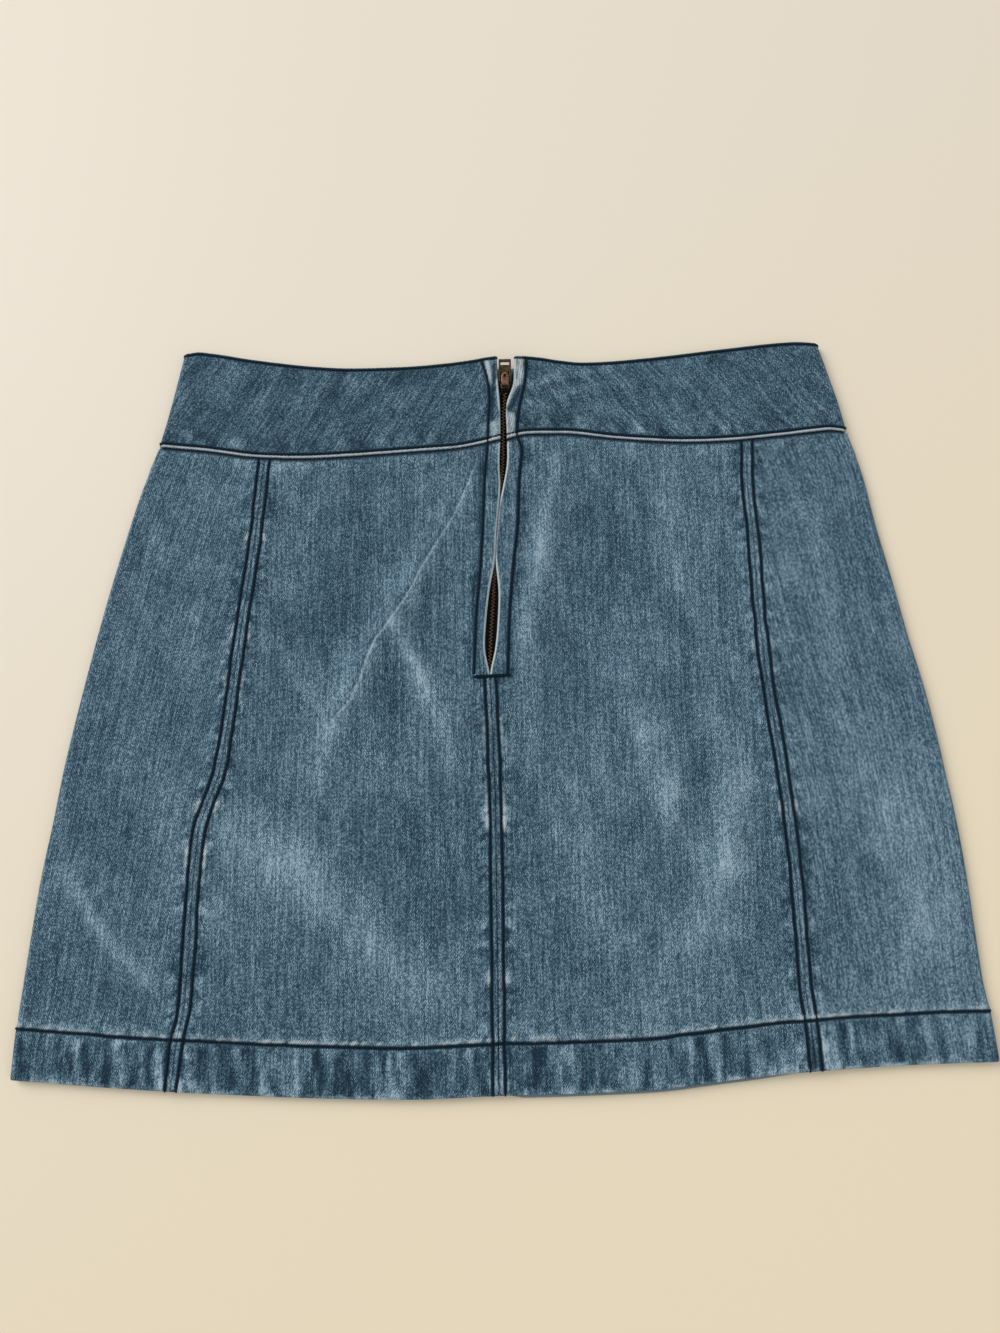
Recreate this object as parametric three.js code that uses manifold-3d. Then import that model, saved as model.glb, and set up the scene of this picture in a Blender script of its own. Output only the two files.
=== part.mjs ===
// A denim mini skirt lying flat with its back upwards, waist towards +Y and hem towards -Y.
// It is a flattened tube of cloth: two back panels and two wrap-round side panels above, the front panel and
// the side panels' other halves below, a doubled waistband, and a closed metal zip at the centre back.
// Millimetres, +Z up, origin at the middle of the bounding box on the surface that the skirt lies on.
import * as THREE from "three";
import { mergeVertices } from "three/addons/utils/BufferGeometryUtils.js";
import Module from "manifold-3d";

// Cloth
const CLOTH = 1.2; // one layer of denim with its nap
const DOUBLE = 2.2; // hem turn-up, seam allowance or waistband: two layers pressed together
const LAYER_GAP = 0.4; // air between the front and the back where they lie on each other
const SEAM_GAP = 0.3; // between neighbouring pieces
const FOLD_INNER_SINGLE = 1.0; // inside radius of the side fold in single cloth
const FOLD_INNER_DOUBLE = 0.5; // and in doubled cloth
const FOLD_SETTLE = 16; // the back sinks from the fold's height to flat over this width

// Lengths along the panel, measured up from the hem
const PANEL_LENGTH = 333;
const HEM_DEPTH = 25;
const HEM_SETTLE = 18; // the step over the turned hem eases out over this length
const WAIST_ALLOWANCE = 13; // seam allowance inside the top of the panels
const WAIST_SETTLE = 26; // the back climbs over the front's allowance below it, over this length
const WAIST_CLEAR = 13;

// The outline and the seams, in x at each height up the panel: side folds, and the back princess seams
const PANEL_LINES = [
  { up: 0, leftFold: -246.7, leftSeam: -166.2, rightSeam: 154.4, rightFold: 246.7 },
  { up: 23, leftFold: -245.5, leftSeam: -164.1, rightSeam: 153.2, rightFold: 244.6 },
  { up: 38, leftFold: -244.2, leftSeam: -161.6, rightSeam: 152.1, rightFold: 242.4 },
  { up: 68, leftFold: -241.2, leftSeam: -160.3, rightSeam: 151.7, rightFold: 240.5 },
  { up: 98, leftFold: -237.9, leftSeam: -159.4, rightSeam: 151.1, rightFold: 238.6 },
  { up: 128, leftFold: -233.2, leftSeam: -157.3, rightSeam: 149.4, rightFold: 235.5 },
  { up: 143, leftFold: -231.1, leftSeam: -153.1, rightSeam: 148.1, rightFold: 233.3 },
  { up: 158, leftFold: -228.9, leftSeam: -148.0, rightSeam: 146.9, rightFold: 231.3 },
  { up: 188, leftFold: -223.3, leftSeam: -143.6, rightSeam: 143.7, rightFold: 226.3 },
  { up: 218, leftFold: -217.3, leftSeam: -140.5, rightSeam: 141.4, rightFold: 219.7 },
  { up: 248, leftFold: -210.8, leftSeam: -137.1, rightSeam: 140.3, rightFold: 213.9 },
  { up: 278, leftFold: -203.5, leftSeam: -133.3, rightSeam: 139.9, rightFold: 207.7 },
  { up: 308, leftFold: -195.4, leftSeam: -130.2, rightSeam: 138.3, rightFold: 202.5 },
  { up: 333, leftFold: -186.9, leftSeam: -127.7, rightSeam: 139.1, rightFold: 195.4 },
];

// The hem edge of the back, in y at each x
const HEM_EDGE = [
  { x: -246.7, y: -188.1 },
  { x: -191, y: -192.9 },
  { x: -132, y: -196.9 },
  { x: -87, y: -199.2 },
  { x: -42, y: -200.3 },
  { x: -5, y: -199.2 },
  { x: 34, y: -198.7 },
  { x: 76, y: -197.4 },
  { x: 106, y: -194.3 },
  { x: 142, y: -190.9 },
  { x: 196, y: -188.2 },
  { x: 246.7, y: -187.0 },
];
// The front's hem hangs this much lower between the centre and the right princess seam
const FRONT_PEEK = { depth: 1.7, from: -2, full: 10, easing: 120, to: 165 };

// The waist seam and the waistband's top edge, in y at each x
const WAIST_SEAM = [
  { x: -187, y: 143.0 },
  { x: -162, y: 140.6 },
  { x: -134, y: 136.6 },
  { x: -105, y: 135.5 },
  { x: -76, y: 136.6 },
  { x: -47, y: 138.4 },
  { x: -18, y: 140.3 },
  { x: 0, y: 143.0 },
  { x: 15, y: 147.0 },
  { x: 38, y: 147.8 },
  { x: 66, y: 144.4 },
  { x: 101, y: 141.9 },
  { x: 130, y: 142.3 },
  { x: 158, y: 144.7 },
  { x: 187, y: 147.4 },
  { x: 195.4, y: 146.4 },
];
const BAND_TOP = [
  { x: -174.7, y: 198.6 },
  { x: -167, y: 199.4 },
  { x: -135, y: 194.2 },
  { x: -91, y: 189.0 },
  { x: -47, y: 189.2 },
  { x: -10, y: 192.2 },
  { x: 5, y: 193.2 },
  { x: 19, y: 193.0 },
  { x: 46, y: 190.0 },
  { x: 89, y: 192.7 },
  { x: 133, y: 197.4 },
  { x: 169, y: 200.6 },
  { x: 182.5, y: 199.6 },
];
const BAND_FOLDS = [
  { share: 0, leftFold: -186.9, rightFold: 195.4 },
  { share: 0.35, leftFold: -182.2, rightFold: 191.6 },
  { share: 1, leftFold: -174.7, rightFold: 182.5 },
];

// The two edges that meet at the centre back, in x at each y: closed seam, almond opening, closed lips, open again
const CENTRE_EDGES = [
  { y: -200, left: -3.6, right: -3.3 },
  { y: -110, left: -3.3, right: -3.0 },
  { y: -50, left: -3.4, right: -3.1 },
  { y: 4, left: -4.8, right: -4.5 },
  { y: 13, left: -5.2, right: -4.9 },
  { y: 26, left: -7.4, right: -2.2 },
  { y: 39, left: -6.9, right: -0.7 },
  { y: 58, left: -4.7, right: 0.2 },
  { y: 76, left: -1.4, right: -1.1 },
  { y: 93, left: -0.2, right: 0.1 },
  { y: 108, left: 1.4, right: 1.7 },
  { y: 117, left: 2.1, right: 3.6 },
  { y: 131, left: 1.9, right: 6.0 },
  { y: 148, left: 2.7, right: 6.1 },
  { y: 164, left: 2.6, right: 6.2 },
  { y: 176, left: 1.9, right: 10.0 },
  { y: 186, left: 1.5, right: 10.8 },
  { y: 196, left: 1.6, right: 11.1 },
];

// The middle of the waist seam on the hidden front, in y
const FRONT_WAIST_MIDDLE = 138.5;
// The front's waistband ends this much below the back's at the centre, so the back hides it
const BAND_FRONT_HIDDEN = 1.2;

// The front princess seams under the skirt, straight from hem to waist
const FRONT_SEAM = { hem: 150, waist: 118 };

// Ridges that the cloth holds as it lies, each a soft rise along a line on the back
const RIDGES = [
  { name: "zip to left", x0: -18, y0: 128, x1: -42, y1: 72, height: 2.0, width: 9 },
  { name: "left sweep", x0: -42, y0: 72, x1: -82, y1: 2, height: 3.2, width: 13 },
  { name: "left pool", x0: -82, y0: 2, x1: -88, y1: -52, height: 2.4, width: 20 },
  { name: "inner branch", x0: -60, y0: 42, x1: -20, y1: -36, height: 2.0, width: 11 },
  { name: "right of zip", x0: 36, y0: 130, x1: 18, y1: 30, height: 2.2, width: 10 },
  { name: "right of seam", x0: 16, y0: 30, x1: 24, y1: -24, height: 2.0, width: 13 },
  { name: "right sweep", x0: 66, y0: 6, x1: 92, y1: -56, height: 2.4, width: 14 },
  { name: "right arc", x0: 110, y0: -8, x1: 120, y1: -90, height: 2.2, width: 16 },
  { name: "lower left", x0: -212, y0: -86, x1: -174, y1: -140, height: 2.0, width: 12 },
  { name: "hip left", x0: -178, y0: 92, x1: -168, y1: 10, height: 1.4, width: 18 },
  { name: "hip right", x0: 176, y0: 96, x1: 182, y1: -20, height: 1.6, width: 18 },
  { name: "hem left", x0: -110, y0: -96, x1: -36, y1: -150, height: 1.6, width: 22 },
  { name: "hem right", x0: 60, y0: -112, x1: 128, y1: -142, height: 1.4, width: 20 },
];
const BAND_RIDGES = [
  { name: "left roll", x0: -150, y0: 186, x1: -40, y1: 164, height: 0.9, width: 9 },
  { name: "right roll", x0: 26, y0: 166, x1: 70, y1: 176, height: 1.2, width: 7 },
  { name: "right end roll", x0: 110, y0: 166, x1: 166, y1: 176, height: 0.8, width: 9 },
];

// Zip
const TAPE_WIDTH = 13;
const TAPE = 0.5;
const CHAIN_WIDTH = 5;
const CHAIN = 1.6;
const ZIP_LIFT = 2.6; // how far the lips ride up over the chain
const ZIP_SHOULDER = { full: 5, gone: 30 }; // sideways reach of that lift
const ZIP_FOOT = { full: 12, gone: -30 }; // and its end below the bar tack, in y
const TAPE_SPAN = { from: 3, to: 189 };
const CHAIN_SPAN = { from: 14, to: 172.7 };
const TAPE_PARTING = { from: 164, to: 168, reach: 4.2 }; // the tapes part round the slider
const ZIP_X = 4; // where the zip crosses the waist seam
const ZIP_LINE = [
  { y: -40, x: -5.5 },
  { y: 13, x: -5.3 },
  { y: 60, x: -2.3 },
  { y: 100, x: 1.0 },
  { y: 133, x: 3.7 },
  { y: 160, x: 4.5 },
  { y: 173, x: 5.6 },
  { y: 200, x: 5.9 },
];

// Slider and pull tab, on the zip's line at the waist
const SLIDER = {
  x: 5.7,
  tailY: 173,
  shoulderY: 177.5,
  neckY: 180.5,
  noseY: 184,
  tailHalf: 2.6,
  shoulderHalf: 3.4,
  noseHalf: 2.8,
  lowerZ: 2.6,
  upperZ: 5.7,
  plate: 1.0,
  postHalf: 1.1,
  postLength: 2.6,
};
const BRIDGE = { half: 1.3, backY: 174.2, frontY: 181.4, leg: 1.5, rise: 3.1, crown: 0.9 };
const TAB = {
  pivotY: 177.8,
  pivotZ: 7.6,
  half: 3.5,
  thickness: 1.0,
  rootBack: 0.5,
  length: 13.1,
  windowHalf: 1.9,
  windowFrom: 0.5,
  windowTo: 5.4,
  slotHalf: 2.4,
  slotFrom: 9.6,
  slotTo: 11.4,
};

// Colours
const DENIM = { color: 0x4f7d9c, roughness: 0.9, metalness: 0 };
const TAPE_BLACK = { color: 0x17181b, roughness: 0.85, metalness: 0 };
const BRONZE = { color: 0x6b5a3e, roughness: 0.45, metalness: 0.85 };
const DARK_BRONZE = { color: 0x4a4032, roughness: 0.5, metalness: 0.8 };

const clamp = THREE.MathUtils.clamp;
const lerp = THREE.MathUtils.lerp;

// 0 before a, 1 after b, and an even S between them, for a below b or above it.
function ease(a, b, value) {
  const t = clamp((value - a) / (b - a), 0, 1);
  return t * t * (3 - 2 * t);
}

// A column of a table read at a value of its key column, by a smooth curve through the rows.
function read(table, key, column, value) {
  const last = table.length - 1;
  if (value <= table[0][key]) return table[0][column];
  if (value >= table[last][key]) return table[last][column];
  const i = table.findIndex((row) => row[key] > value) - 1;
  const slope = (a, b) => (table[b][column] - table[a][column]) / (table[b][key] - table[a][key]);
  const step = table[i + 1][key] - table[i][key];
  const s0 = slope(Math.max(i - 1, 0), i + 1) * step;
  const s1 = slope(i, Math.min(i + 2, last)) * step;
  const t = (value - table[i][key]) / step;
  const t2 = t * t;
  const t3 = t2 * t;
  return (
    (2 * t3 - 3 * t2 + 1) * table[i][column] +
    (t3 - 2 * t2 + t) * s0 +
    (3 * t2 - 2 * t3) * table[i + 1][column] +
    (t3 - t2) * s1
  );
}

// Height that a table of ridges adds at a point: a bell across each line, fading past its ends.
function ridgeHeight(ridges, x, y) {
  let total = 0;
  for (const r of ridges) {
    const dx = r.x1 - r.x0;
    const dy = r.y1 - r.y0;
    const along = clamp(((x - r.x0) * dx + (y - r.y0) * dy) / (dx * dx + dy * dy), 0, 1);
    const away = Math.hypot(x - r.x0 - along * dx, y - r.y0 - along * dy) / r.width;
    total = Math.max(total, r.height * Math.exp(-away * away));
  }
  return total;
}

// How far the back is lifted over the zip at a point.
function zipLift(x, y) {
  const side = Math.abs(x - read(ZIP_LINE, "y", "x", y));
  const across = 1 - ease(ZIP_SHOULDER.full, ZIP_SHOULDER.gone, side);
  return ZIP_LIFT * across * ease(ZIP_FOOT.gone, ZIP_FOOT.full, y);
}

// Thickness of a panel's wall at a height above the hem: doubled in the hem and at the waist seam.
function panelThickness(up) {
  const hem = 1 - ease(HEM_DEPTH, HEM_DEPTH + 3, up);
  const waist = ease(PANEL_LENGTH - WAIST_ALLOWANCE - 3, PANEL_LENGTH - WAIST_ALLOWANCE, up);
  return CLOTH + (DOUBLE - CLOTH) * Math.max(hem, waist);
}

// Height of the back's outer face where it lies flat on the front. Near the waist it first climbs on to the
// front's seam allowance, and then its own allowance adds the same again.
function panelFlat(up) {
  const extra = DOUBLE - CLOTH;
  const hem = 1 - ease(HEM_DEPTH, HEM_DEPTH + HEM_SETTLE, up);
  const allowance = PANEL_LENGTH - WAIST_ALLOWANCE;
  const climb = ease(allowance - WAIST_SETTLE, allowance - WAIST_CLEAR, up);
  const own = ease(allowance - 6, allowance, up);
  return 2 * CLOTH + LAYER_GAP + extra * (2 * hem + climb + own);
}

function foldRadius(thickness) {
  const doubled = (thickness - CLOTH) / (DOUBLE - CLOTH);
  return thickness + lerp(FOLD_INNER_SINGLE, FOLD_INNER_DOUBLE, doubled);
}

// One level of the skirt: where its lines are, how thick it is and how high it lies.
function panelLevel(up) {
  const share = up / PANEL_LENGTH;
  const line = (name) => read(PANEL_LINES, "up", name, up);
  const ends = (name) => ({
    hem: PANEL_LINES[0][name],
    waist: PANEL_LINES[PANEL_LINES.length - 1][name],
  });
  // y of the point that lies at x on this level, between two named lines
  const yBetween = (a, b, part) => {
    const hemX = lerp(ends(a).hem, ends(b).hem, part);
    const waistX = lerp(ends(a).waist, ends(b).waist, part);
    const hemY = read(HEM_EDGE, "x", "y", hemX);
    const waistY = read(WAIST_SEAM, "x", "y", waistX) - SEAM_GAP;
    return lerp(hemY, waistY, share);
  };
  const thickness = panelThickness(up);
  return {
    share,
    line,
    yBetween,
    thickness,
    flat: panelFlat(up),
    radius: foldRadius(thickness),
    ridges: RIDGES,
    frontSeam: lerp(FRONT_SEAM.hem, FRONT_SEAM.waist, share),
  };
}

// Outer height of the upper layer at a point of a level. It meets the fold's crest at both side folds.
function topHeight(level, x, y) {
  const crest = 2 * level.radius;
  const inset = Math.min(x - level.line("leftFold"), level.line("rightFold") - x) - level.radius;
  const settled = ease(0, FOLD_SETTLE, inset);
  const flat = level.flat + ridgeHeight(level.ridges, x, y) + zipLift(x, y);
  return lerp(crest, flat, settled);
}

// A pair of points through the wall, outer and inner, at a point of the upper layer.
function topPair(level, x, y) {
  const z = topHeight(level, x, y);
  return [new THREE.Vector3(x, y, z), new THREE.Vector3(x, y, z - level.thickness)];
}

function bottomPair(level, x, y) {
  return [new THREE.Vector3(x, y, 0), new THREE.Vector3(x, y, level.thickness)];
}

// Pairs round a side fold, from its crest to the underside; side is -1 on the left and 1 on the right.
function foldPairs(level, side, y, steps) {
  const fold = level.line(side < 0 ? "leftFold" : "rightFold");
  const centreX = fold - side * level.radius;
  const pairs = [];
  for (let i = 0; i <= steps; i += 1) {
    const angle = Math.PI / 2 - (Math.PI * i) / steps;
    const at = (radius) =>
      new THREE.Vector3(
        centreX + side * radius * Math.cos(angle),
        y,
        level.radius + radius * Math.sin(angle),
      );
    pairs.push([at(level.radius), at(level.radius - level.thickness)]);
  }
  return pairs;
}

// A closed wall from rows of outer and inner points: both faces and the four edges.
function wallGeometry(rows) {
  const count = rows[0].length;
  const positions = [];
  for (const layer of [0, 1]) {
    for (const row of rows) row.forEach((pair) => positions.push(...pair[layer].toArray()));
  }
  const index = (layer, i, j) => layer * rows.length * count + i * count + j;
  const triangles = [];
  const quad = (a, b, c, d) => triangles.push(a, b, c, a, c, d);
  for (let i = 0; i + 1 < rows.length; i += 1) {
    for (let j = 0; j + 1 < count; j += 1) {
      quad(index(0, i, j), index(0, i, j + 1), index(0, i + 1, j + 1), index(0, i + 1, j));
      quad(index(1, i, j), index(1, i + 1, j), index(1, i + 1, j + 1), index(1, i, j + 1));
    }
    quad(index(0, i, 0), index(0, i + 1, 0), index(1, i + 1, 0), index(1, i, 0));
    const e = count - 1;
    quad(index(0, i, e), index(1, i, e), index(1, i + 1, e), index(0, i + 1, e));
  }
  const top = rows.length - 1;
  for (let j = 0; j + 1 < count; j += 1) {
    quad(index(0, 0, j), index(1, 0, j), index(1, 0, j + 1), index(0, 0, j + 1));
    quad(index(0, top, j), index(0, top, j + 1), index(1, top, j + 1), index(1, top, j));
  }
  if (signedVolume(positions, triangles) < 0) {
    for (let k = 0; k < triangles.length; k += 3) {
      [triangles[k + 1], triangles[k + 2]] = [triangles[k + 2], triangles[k + 1]];
    }
  }
  const geometry = new THREE.BufferGeometry();
  geometry.setAttribute("position", new THREE.Float32BufferAttribute(positions, 3));
  geometry.setIndex(triangles);
  geometry.computeVertexNormals();
  return geometry;
}

function signedVolume(positions, triangles) {
  const corner = (k) => new THREE.Vector3().fromArray(positions, 3 * triangles[k]);
  let sum = 0;
  for (let k = 0; k < triangles.length; k += 3) {
    sum += corner(k).dot(corner(k + 1).cross(corner(k + 2))) / 6;
  }
  return sum;
}

// Shares from 0 to 1 in even steps, drawn towards 1 by a power above 1.
function shares(steps, power = 1) {
  return Array.from({ length: steps + 1 }, (_, i) => 1 - Math.pow(1 - i / steps, power));
}

// Heights up the panel of the wall's rows, closer together at the hem, the zip's foot and the waist.
const ROWS = [
  0, 12, 23.5, 28, 35, 45, 58, 74, 90, 106, 122, 136, 150, 164, 178, 192, 202, 207, 213, 221, 232,
  246, 262, 278, 293, 305, 314, 320, 326, 333,
];
const PLAIN_ROWS = [0, 12, 23.5, 28, 80, 140, 200, 260, 317, 320, 333];
const BACK_STEPS = 13;
const BACK_SPREAD = 1.35; // draws a back's columns towards the zip
const SIDE_STEPS = 6;
const SIDE_SPREAD = 1.3; // and a side's towards its fold
const FOLD_STEPS = 8;
const UNDER_STEPS = 3;
const FRONT_STEPS = 16;
const BAND_UNDER_STEPS = 8;
const BAND_ROWS = 7;

// A back half, from its princess seam to its edge at the centre back.
function backPanel(side) {
  const seam = side < 0 ? "leftSeam" : "rightSeam";
  const edge = side < 0 ? "left" : "right";
  const rows = ROWS.map((up) => {
    const level = panelLevel(up);
    const seamX = level.line(seam) - (side * SEAM_GAP) / 2;
    const hemX = PANEL_LINES[0][seam];
    const waistX = PANEL_LINES[PANEL_LINES.length - 1][seam];
    return shares(BACK_STEPS, BACK_SPREAD).map((part) => {
      const hemY = read(HEM_EDGE, "x", "y", lerp(hemX, CENTRE_EDGES[0][edge], part));
      const waistY = read(WAIST_SEAM, "x", "y", lerp(waistX, ZIP_X, part)) - SEAM_GAP;
      const y = lerp(hemY, waistY, level.share);
      const centreX = read(CENTRE_EDGES, "y", edge, y);
      return topPair(level, lerp(seamX, centreX, part), y);
    });
  });
  return wallGeometry(rows);
}

// A side panel, from the back princess seam over the fold to the front princess seam below.
function sidePanel(side) {
  const seam = side < 0 ? "leftSeam" : "rightSeam";
  const fold = side < 0 ? "leftFold" : "rightFold";
  const rows = ROWS.map((up) => {
    const level = panelLevel(up);
    const seamX = level.line(seam) + (side * SEAM_GAP) / 2;
    const crestX = level.line(fold) - side * level.radius;
    const frontX = side * (level.frontSeam + SEAM_GAP / 2);
    const above = shares(SIDE_STEPS, SIDE_SPREAD).map((part) =>
      topPair(level, lerp(seamX, crestX, part), level.yBetween(seam, fold, part)),
    );
    const round = foldPairs(level, side, level.yBetween(seam, fold, 1), FOLD_STEPS);
    const below = shares(UNDER_STEPS).map((part) => {
      const x = lerp(crestX, frontX, part);
      return bottomPair(level, x, frontY(level, x));
    });
    return [...above.slice(0, -1), ...round, ...below.slice(1)];
  });
  return wallGeometry(rows);
}

// y of the waist seam on the lower layer: an even bow between the two side folds.
function lowerWaistY(x) {
  const ends = PANEL_LINES[PANEL_LINES.length - 1];
  const endX = x < 0 ? ends.leftFold : ends.rightFold;
  const share = (x / endX) * (x / endX);
  return lerp(FRONT_WAIST_MIDDLE, read(WAIST_SEAM, "x", "y", endX), share);
}

// y of the lower layer at x on a level, with the front's slightly longer hem.
function frontY(level, x) {
  const width = x < 0 ? level.line("leftFold") : level.line("rightFold");
  const first = PANEL_LINES[0];
  const last = PANEL_LINES[PANEL_LINES.length - 1];
  const hemX = (x / width) * (x < 0 ? first.leftFold : first.rightFold);
  const waistX = (x / width) * (x < 0 ? last.leftFold : last.rightFold);
  const peek =
    FRONT_PEEK.depth *
    ease(FRONT_PEEK.from, FRONT_PEEK.full, hemX) *
    (1 - ease(FRONT_PEEK.easing, FRONT_PEEK.to, hemX));
  const hemY = read(HEM_EDGE, "x", "y", hemX) - peek;
  return lerp(hemY, lowerWaistY(waistX) - SEAM_GAP, level.share);
}

// The front, whole, between its princess seams, flat on the surface.
function frontPanel() {
  const rows = PLAIN_ROWS.map((up) => {
    const level = panelLevel(up);
    const half = level.frontSeam - SEAM_GAP / 2;
    return shares(FRONT_STEPS).map((part) => {
      const x = lerp(-half, half, part);
      return bottomPair(level, x, frontY(level, x));
    });
  });
  return wallGeometry(rows);
}

// The doubled waistband, one strip from the zip's left edge round under the skirt to the zip's right edge.
// Its columns stand over those of the panels, so that the two edges of the waist seam run side by side.
function waistband() {
  const start = PANEL_LINES[PANEL_LINES.length - 1];
  const end = BAND_FOLDS[BAND_FOLDS.length - 1];
  const rows = shares(BAND_ROWS).map((share) => {
    const line = (name) => read(BAND_FOLDS, "share", name, share);
    const level = {
      line,
      thickness: DOUBLE,
      flat: 2 * DOUBLE + LAYER_GAP,
      radius: foldRadius(DOUBLE),
      ridges: BAND_RIDGES,
    };
    const half = (side) => {
      const fold = side < 0 ? "leftFold" : "rightFold";
      const seam = side < 0 ? "leftSeam" : "rightSeam";
      const edge = side < 0 ? "left" : "right";
      // y of the upper layer above a point of the waist seam
      const upperY = (waistX) => {
        const seamY = read(WAIST_SEAM, "x", "y", waistX) + SEAM_GAP;
        const topY = read(BAND_TOP, "x", "y", (waistX * end[fold]) / start[fold]);
        return lerp(seamY, topY, share);
      };
      const crestX = line(fold) - side * level.radius;
      const seamX = (start[seam] * line(fold)) / start[fold];
      const edgeX = read(CENTRE_EDGES, "y", edge, upperY(ZIP_X));
      const overBack = shares(BACK_STEPS, BACK_SPREAD)
        .reverse()
        .map((part) => [lerp(seamX, edgeX, part), lerp(start[seam], ZIP_X, part)]);
      const overSide = shares(SIDE_STEPS, SIDE_SPREAD).map((part) => [
        lerp(seamX, crestX, part),
        lerp(start[seam], start[fold], part),
      ]);
      const above = [...overBack, ...overSide.slice(1, -1)].map(([x, waistX]) =>
        topPair(level, x, upperY(waistX)),
      );
      const round = foldPairs(level, side, upperY(start[fold]), FOLD_STEPS);
      const below = shares(BAND_UNDER_STEPS).map((part) => {
        const x = lerp(crestX, 0, part);
        const waistX = lerp(start[fold], 0, part);
        const topX = lerp(end[fold], 0, part);
        const hidden = BAND_FRONT_HIDDEN * (1 - (1 - part) * (1 - part));
        const topY = read(BAND_TOP, "x", "y", topX) - hidden;
        return bottomPair(level, x, lerp(lowerWaistY(waistX) + SEAM_GAP, topY, share));
      });
      return [...above, ...round, ...below.slice(1)];
    };
    return [...half(-1), ...half(1).reverse().slice(1)];
  });
  return wallGeometry(rows);
}

// Height of the front's upper face under the zip, where the tape lies, with its step taken early.
function frontTopAt(y) {
  const allowance = FRONT_WAIST_MIDDLE - WAIST_ALLOWANCE;
  return lerp(CLOTH, DOUBLE, ease(allowance - 14, allowance - 7, y));
}

// A flat strip along the zip's line, between two offsets from it.
function zipStrip(span, offsets, rise, thickness, steps) {
  const rows = shares(steps).map((part) => {
    const y = lerp(span.from, span.to, part);
    const centreX = read(ZIP_LINE, "y", "x", y);
    const z = frontTopAt(y) + rise;
    return offsets(y).map((offset) => [
      new THREE.Vector3(centreX + offset, y, z + thickness),
      new THREE.Vector3(centreX + offset, y, z),
    ]);
  });
  return wallGeometry(rows);
}

function zipTape(side) {
  const parting = (y) =>
    lerp(SEAM_GAP / 2, TAPE_PARTING.reach, ease(TAPE_PARTING.from, TAPE_PARTING.to, y));
  return zipStrip(
    TAPE_SPAN,
    (y) => [side * parting(y), side * 0.5 * (parting(y) + TAPE_WIDTH), side * TAPE_WIDTH],
    SEAM_GAP,
    TAPE,
    40,
  );
}

function zipChain() {
  const half = CHAIN_WIDTH / 2;
  return zipStrip(CHAIN_SPAN, () => [-half, 0, half], 2 * SEAM_GAP + TAPE, CHAIN, 26);
}

// A flat plate: an outline of [x, y] corners, with holes, from a height upwards.
function plate(corners, z, thickness, holes = []) {
  const shape = new THREE.Shape(corners.map(([x, y]) => new THREE.Vector2(x, y)));
  shape.holes = holes.map((hole) => new THREE.Path(hole.map(([x, y]) => new THREE.Vector2(x, y))));
  const geometry = new THREE.ExtrudeGeometry(shape, { depth: thickness, bevelEnabled: false });
  geometry.translate(0, 0, z);
  return geometry;
}

function rectangle(x, half, y0, y1) {
  return [
    [x - half, y0],
    [x + half, y0],
    [x + half, y1],
    [x - half, y1],
  ];
}

const wasm = await Module();
wasm.setup();

function solidOf(geometry) {
  const bare = new THREE.BufferGeometry();
  bare.setAttribute("position", geometry.getAttribute("position"));
  bare.setIndex(geometry.index);
  const merged = mergeVertices(bare, 1e-4);
  return new wasm.Manifold(
    new wasm.Mesh({
      numProp: 3,
      vertProperties: new Float32Array(merged.attributes.position.array),
      triVerts: new Uint32Array(merged.index.array),
    }),
  );
}

// Several overlapping closed geometries as one.
function join(geometries) {
  const whole = geometries.map(solidOf).reduce((sum, next) => sum.add(next));
  const mesh = whole.getMesh();
  const geometry = new THREE.BufferGeometry();
  geometry.setAttribute("position", new THREE.Float32BufferAttribute(mesh.vertProperties, 3));
  geometry.setIndex(Array.from(mesh.triVerts));
  return geometry;
}

// The slider: two plates joined by the post between them, and the bridge that the tab hangs on.
function zipSlider() {
  const s = SLIDER;
  const rows = [
    [s.tailHalf, s.tailY],
    [s.shoulderHalf, s.shoulderY],
    [s.shoulderHalf, s.neckY],
    [s.noseHalf, s.noseY],
  ];
  const right = rows.map(([half, y]) => [s.x + half, y]);
  const left = rows.map(([half, y]) => [s.x - half, y]).reverse();
  const body = [...right, ...left];
  const upperTop = s.upperZ + s.plate;
  const post = rectangle(s.x, s.postHalf, s.noseY - s.postLength, s.noseY - s.plate / 2);
  const b = BRIDGE;
  const profile = [
    [b.backY, upperTop - s.plate / 2],
    [b.backY, upperTop + b.rise - b.crown],
    [b.backY + b.crown, upperTop + b.rise],
    [b.frontY - b.crown, upperTop + b.rise],
    [b.frontY, upperTop + b.rise - b.crown],
    [b.frontY, upperTop - s.plate / 2],
    [b.frontY - b.leg, upperTop - s.plate / 2],
    [b.frontY - b.leg, upperTop + b.rise - b.crown],
    [b.backY + b.leg, upperTop + b.rise - b.crown],
    [b.backY + b.leg, upperTop - s.plate / 2],
  ];
  const arch = plate(profile, -b.half, 2 * b.half);
  // The arch's profile is drawn in Y and Z, and its thickness runs along X.
  arch.applyMatrix4(new THREE.Matrix4().set(0, 0, 1, s.x, 1, 0, 0, 0, 0, 1, 0, 0, 0, 0, 0, 1));
  return join([
    plate(body, s.lowerZ, s.plate),
    plate(body, s.upperZ, s.plate),
    plate(post, s.lowerZ + s.plate / 2, s.upperZ - s.lowerZ),
    arch,
  ]);
}

// The pull tab, lying up over the waist edge, with a window round the bridge and a slot near its end.
function pullTab() {
  const t = TAB;
  const y = (along) => t.pivotY + along;
  const window = rectangle(SLIDER.x, t.windowHalf, y(t.windowFrom), y(t.windowTo));
  const slot = rectangle(SLIDER.x, t.slotHalf, y(t.slotFrom), y(t.slotTo));
  return plate(
    rectangle(SLIDER.x, t.half, y(-t.rootBack), y(t.length)),
    t.pivotZ - t.thickness / 2,
    t.thickness,
    [window, slot],
  );
}

const skirt = new THREE.Group();

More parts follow.
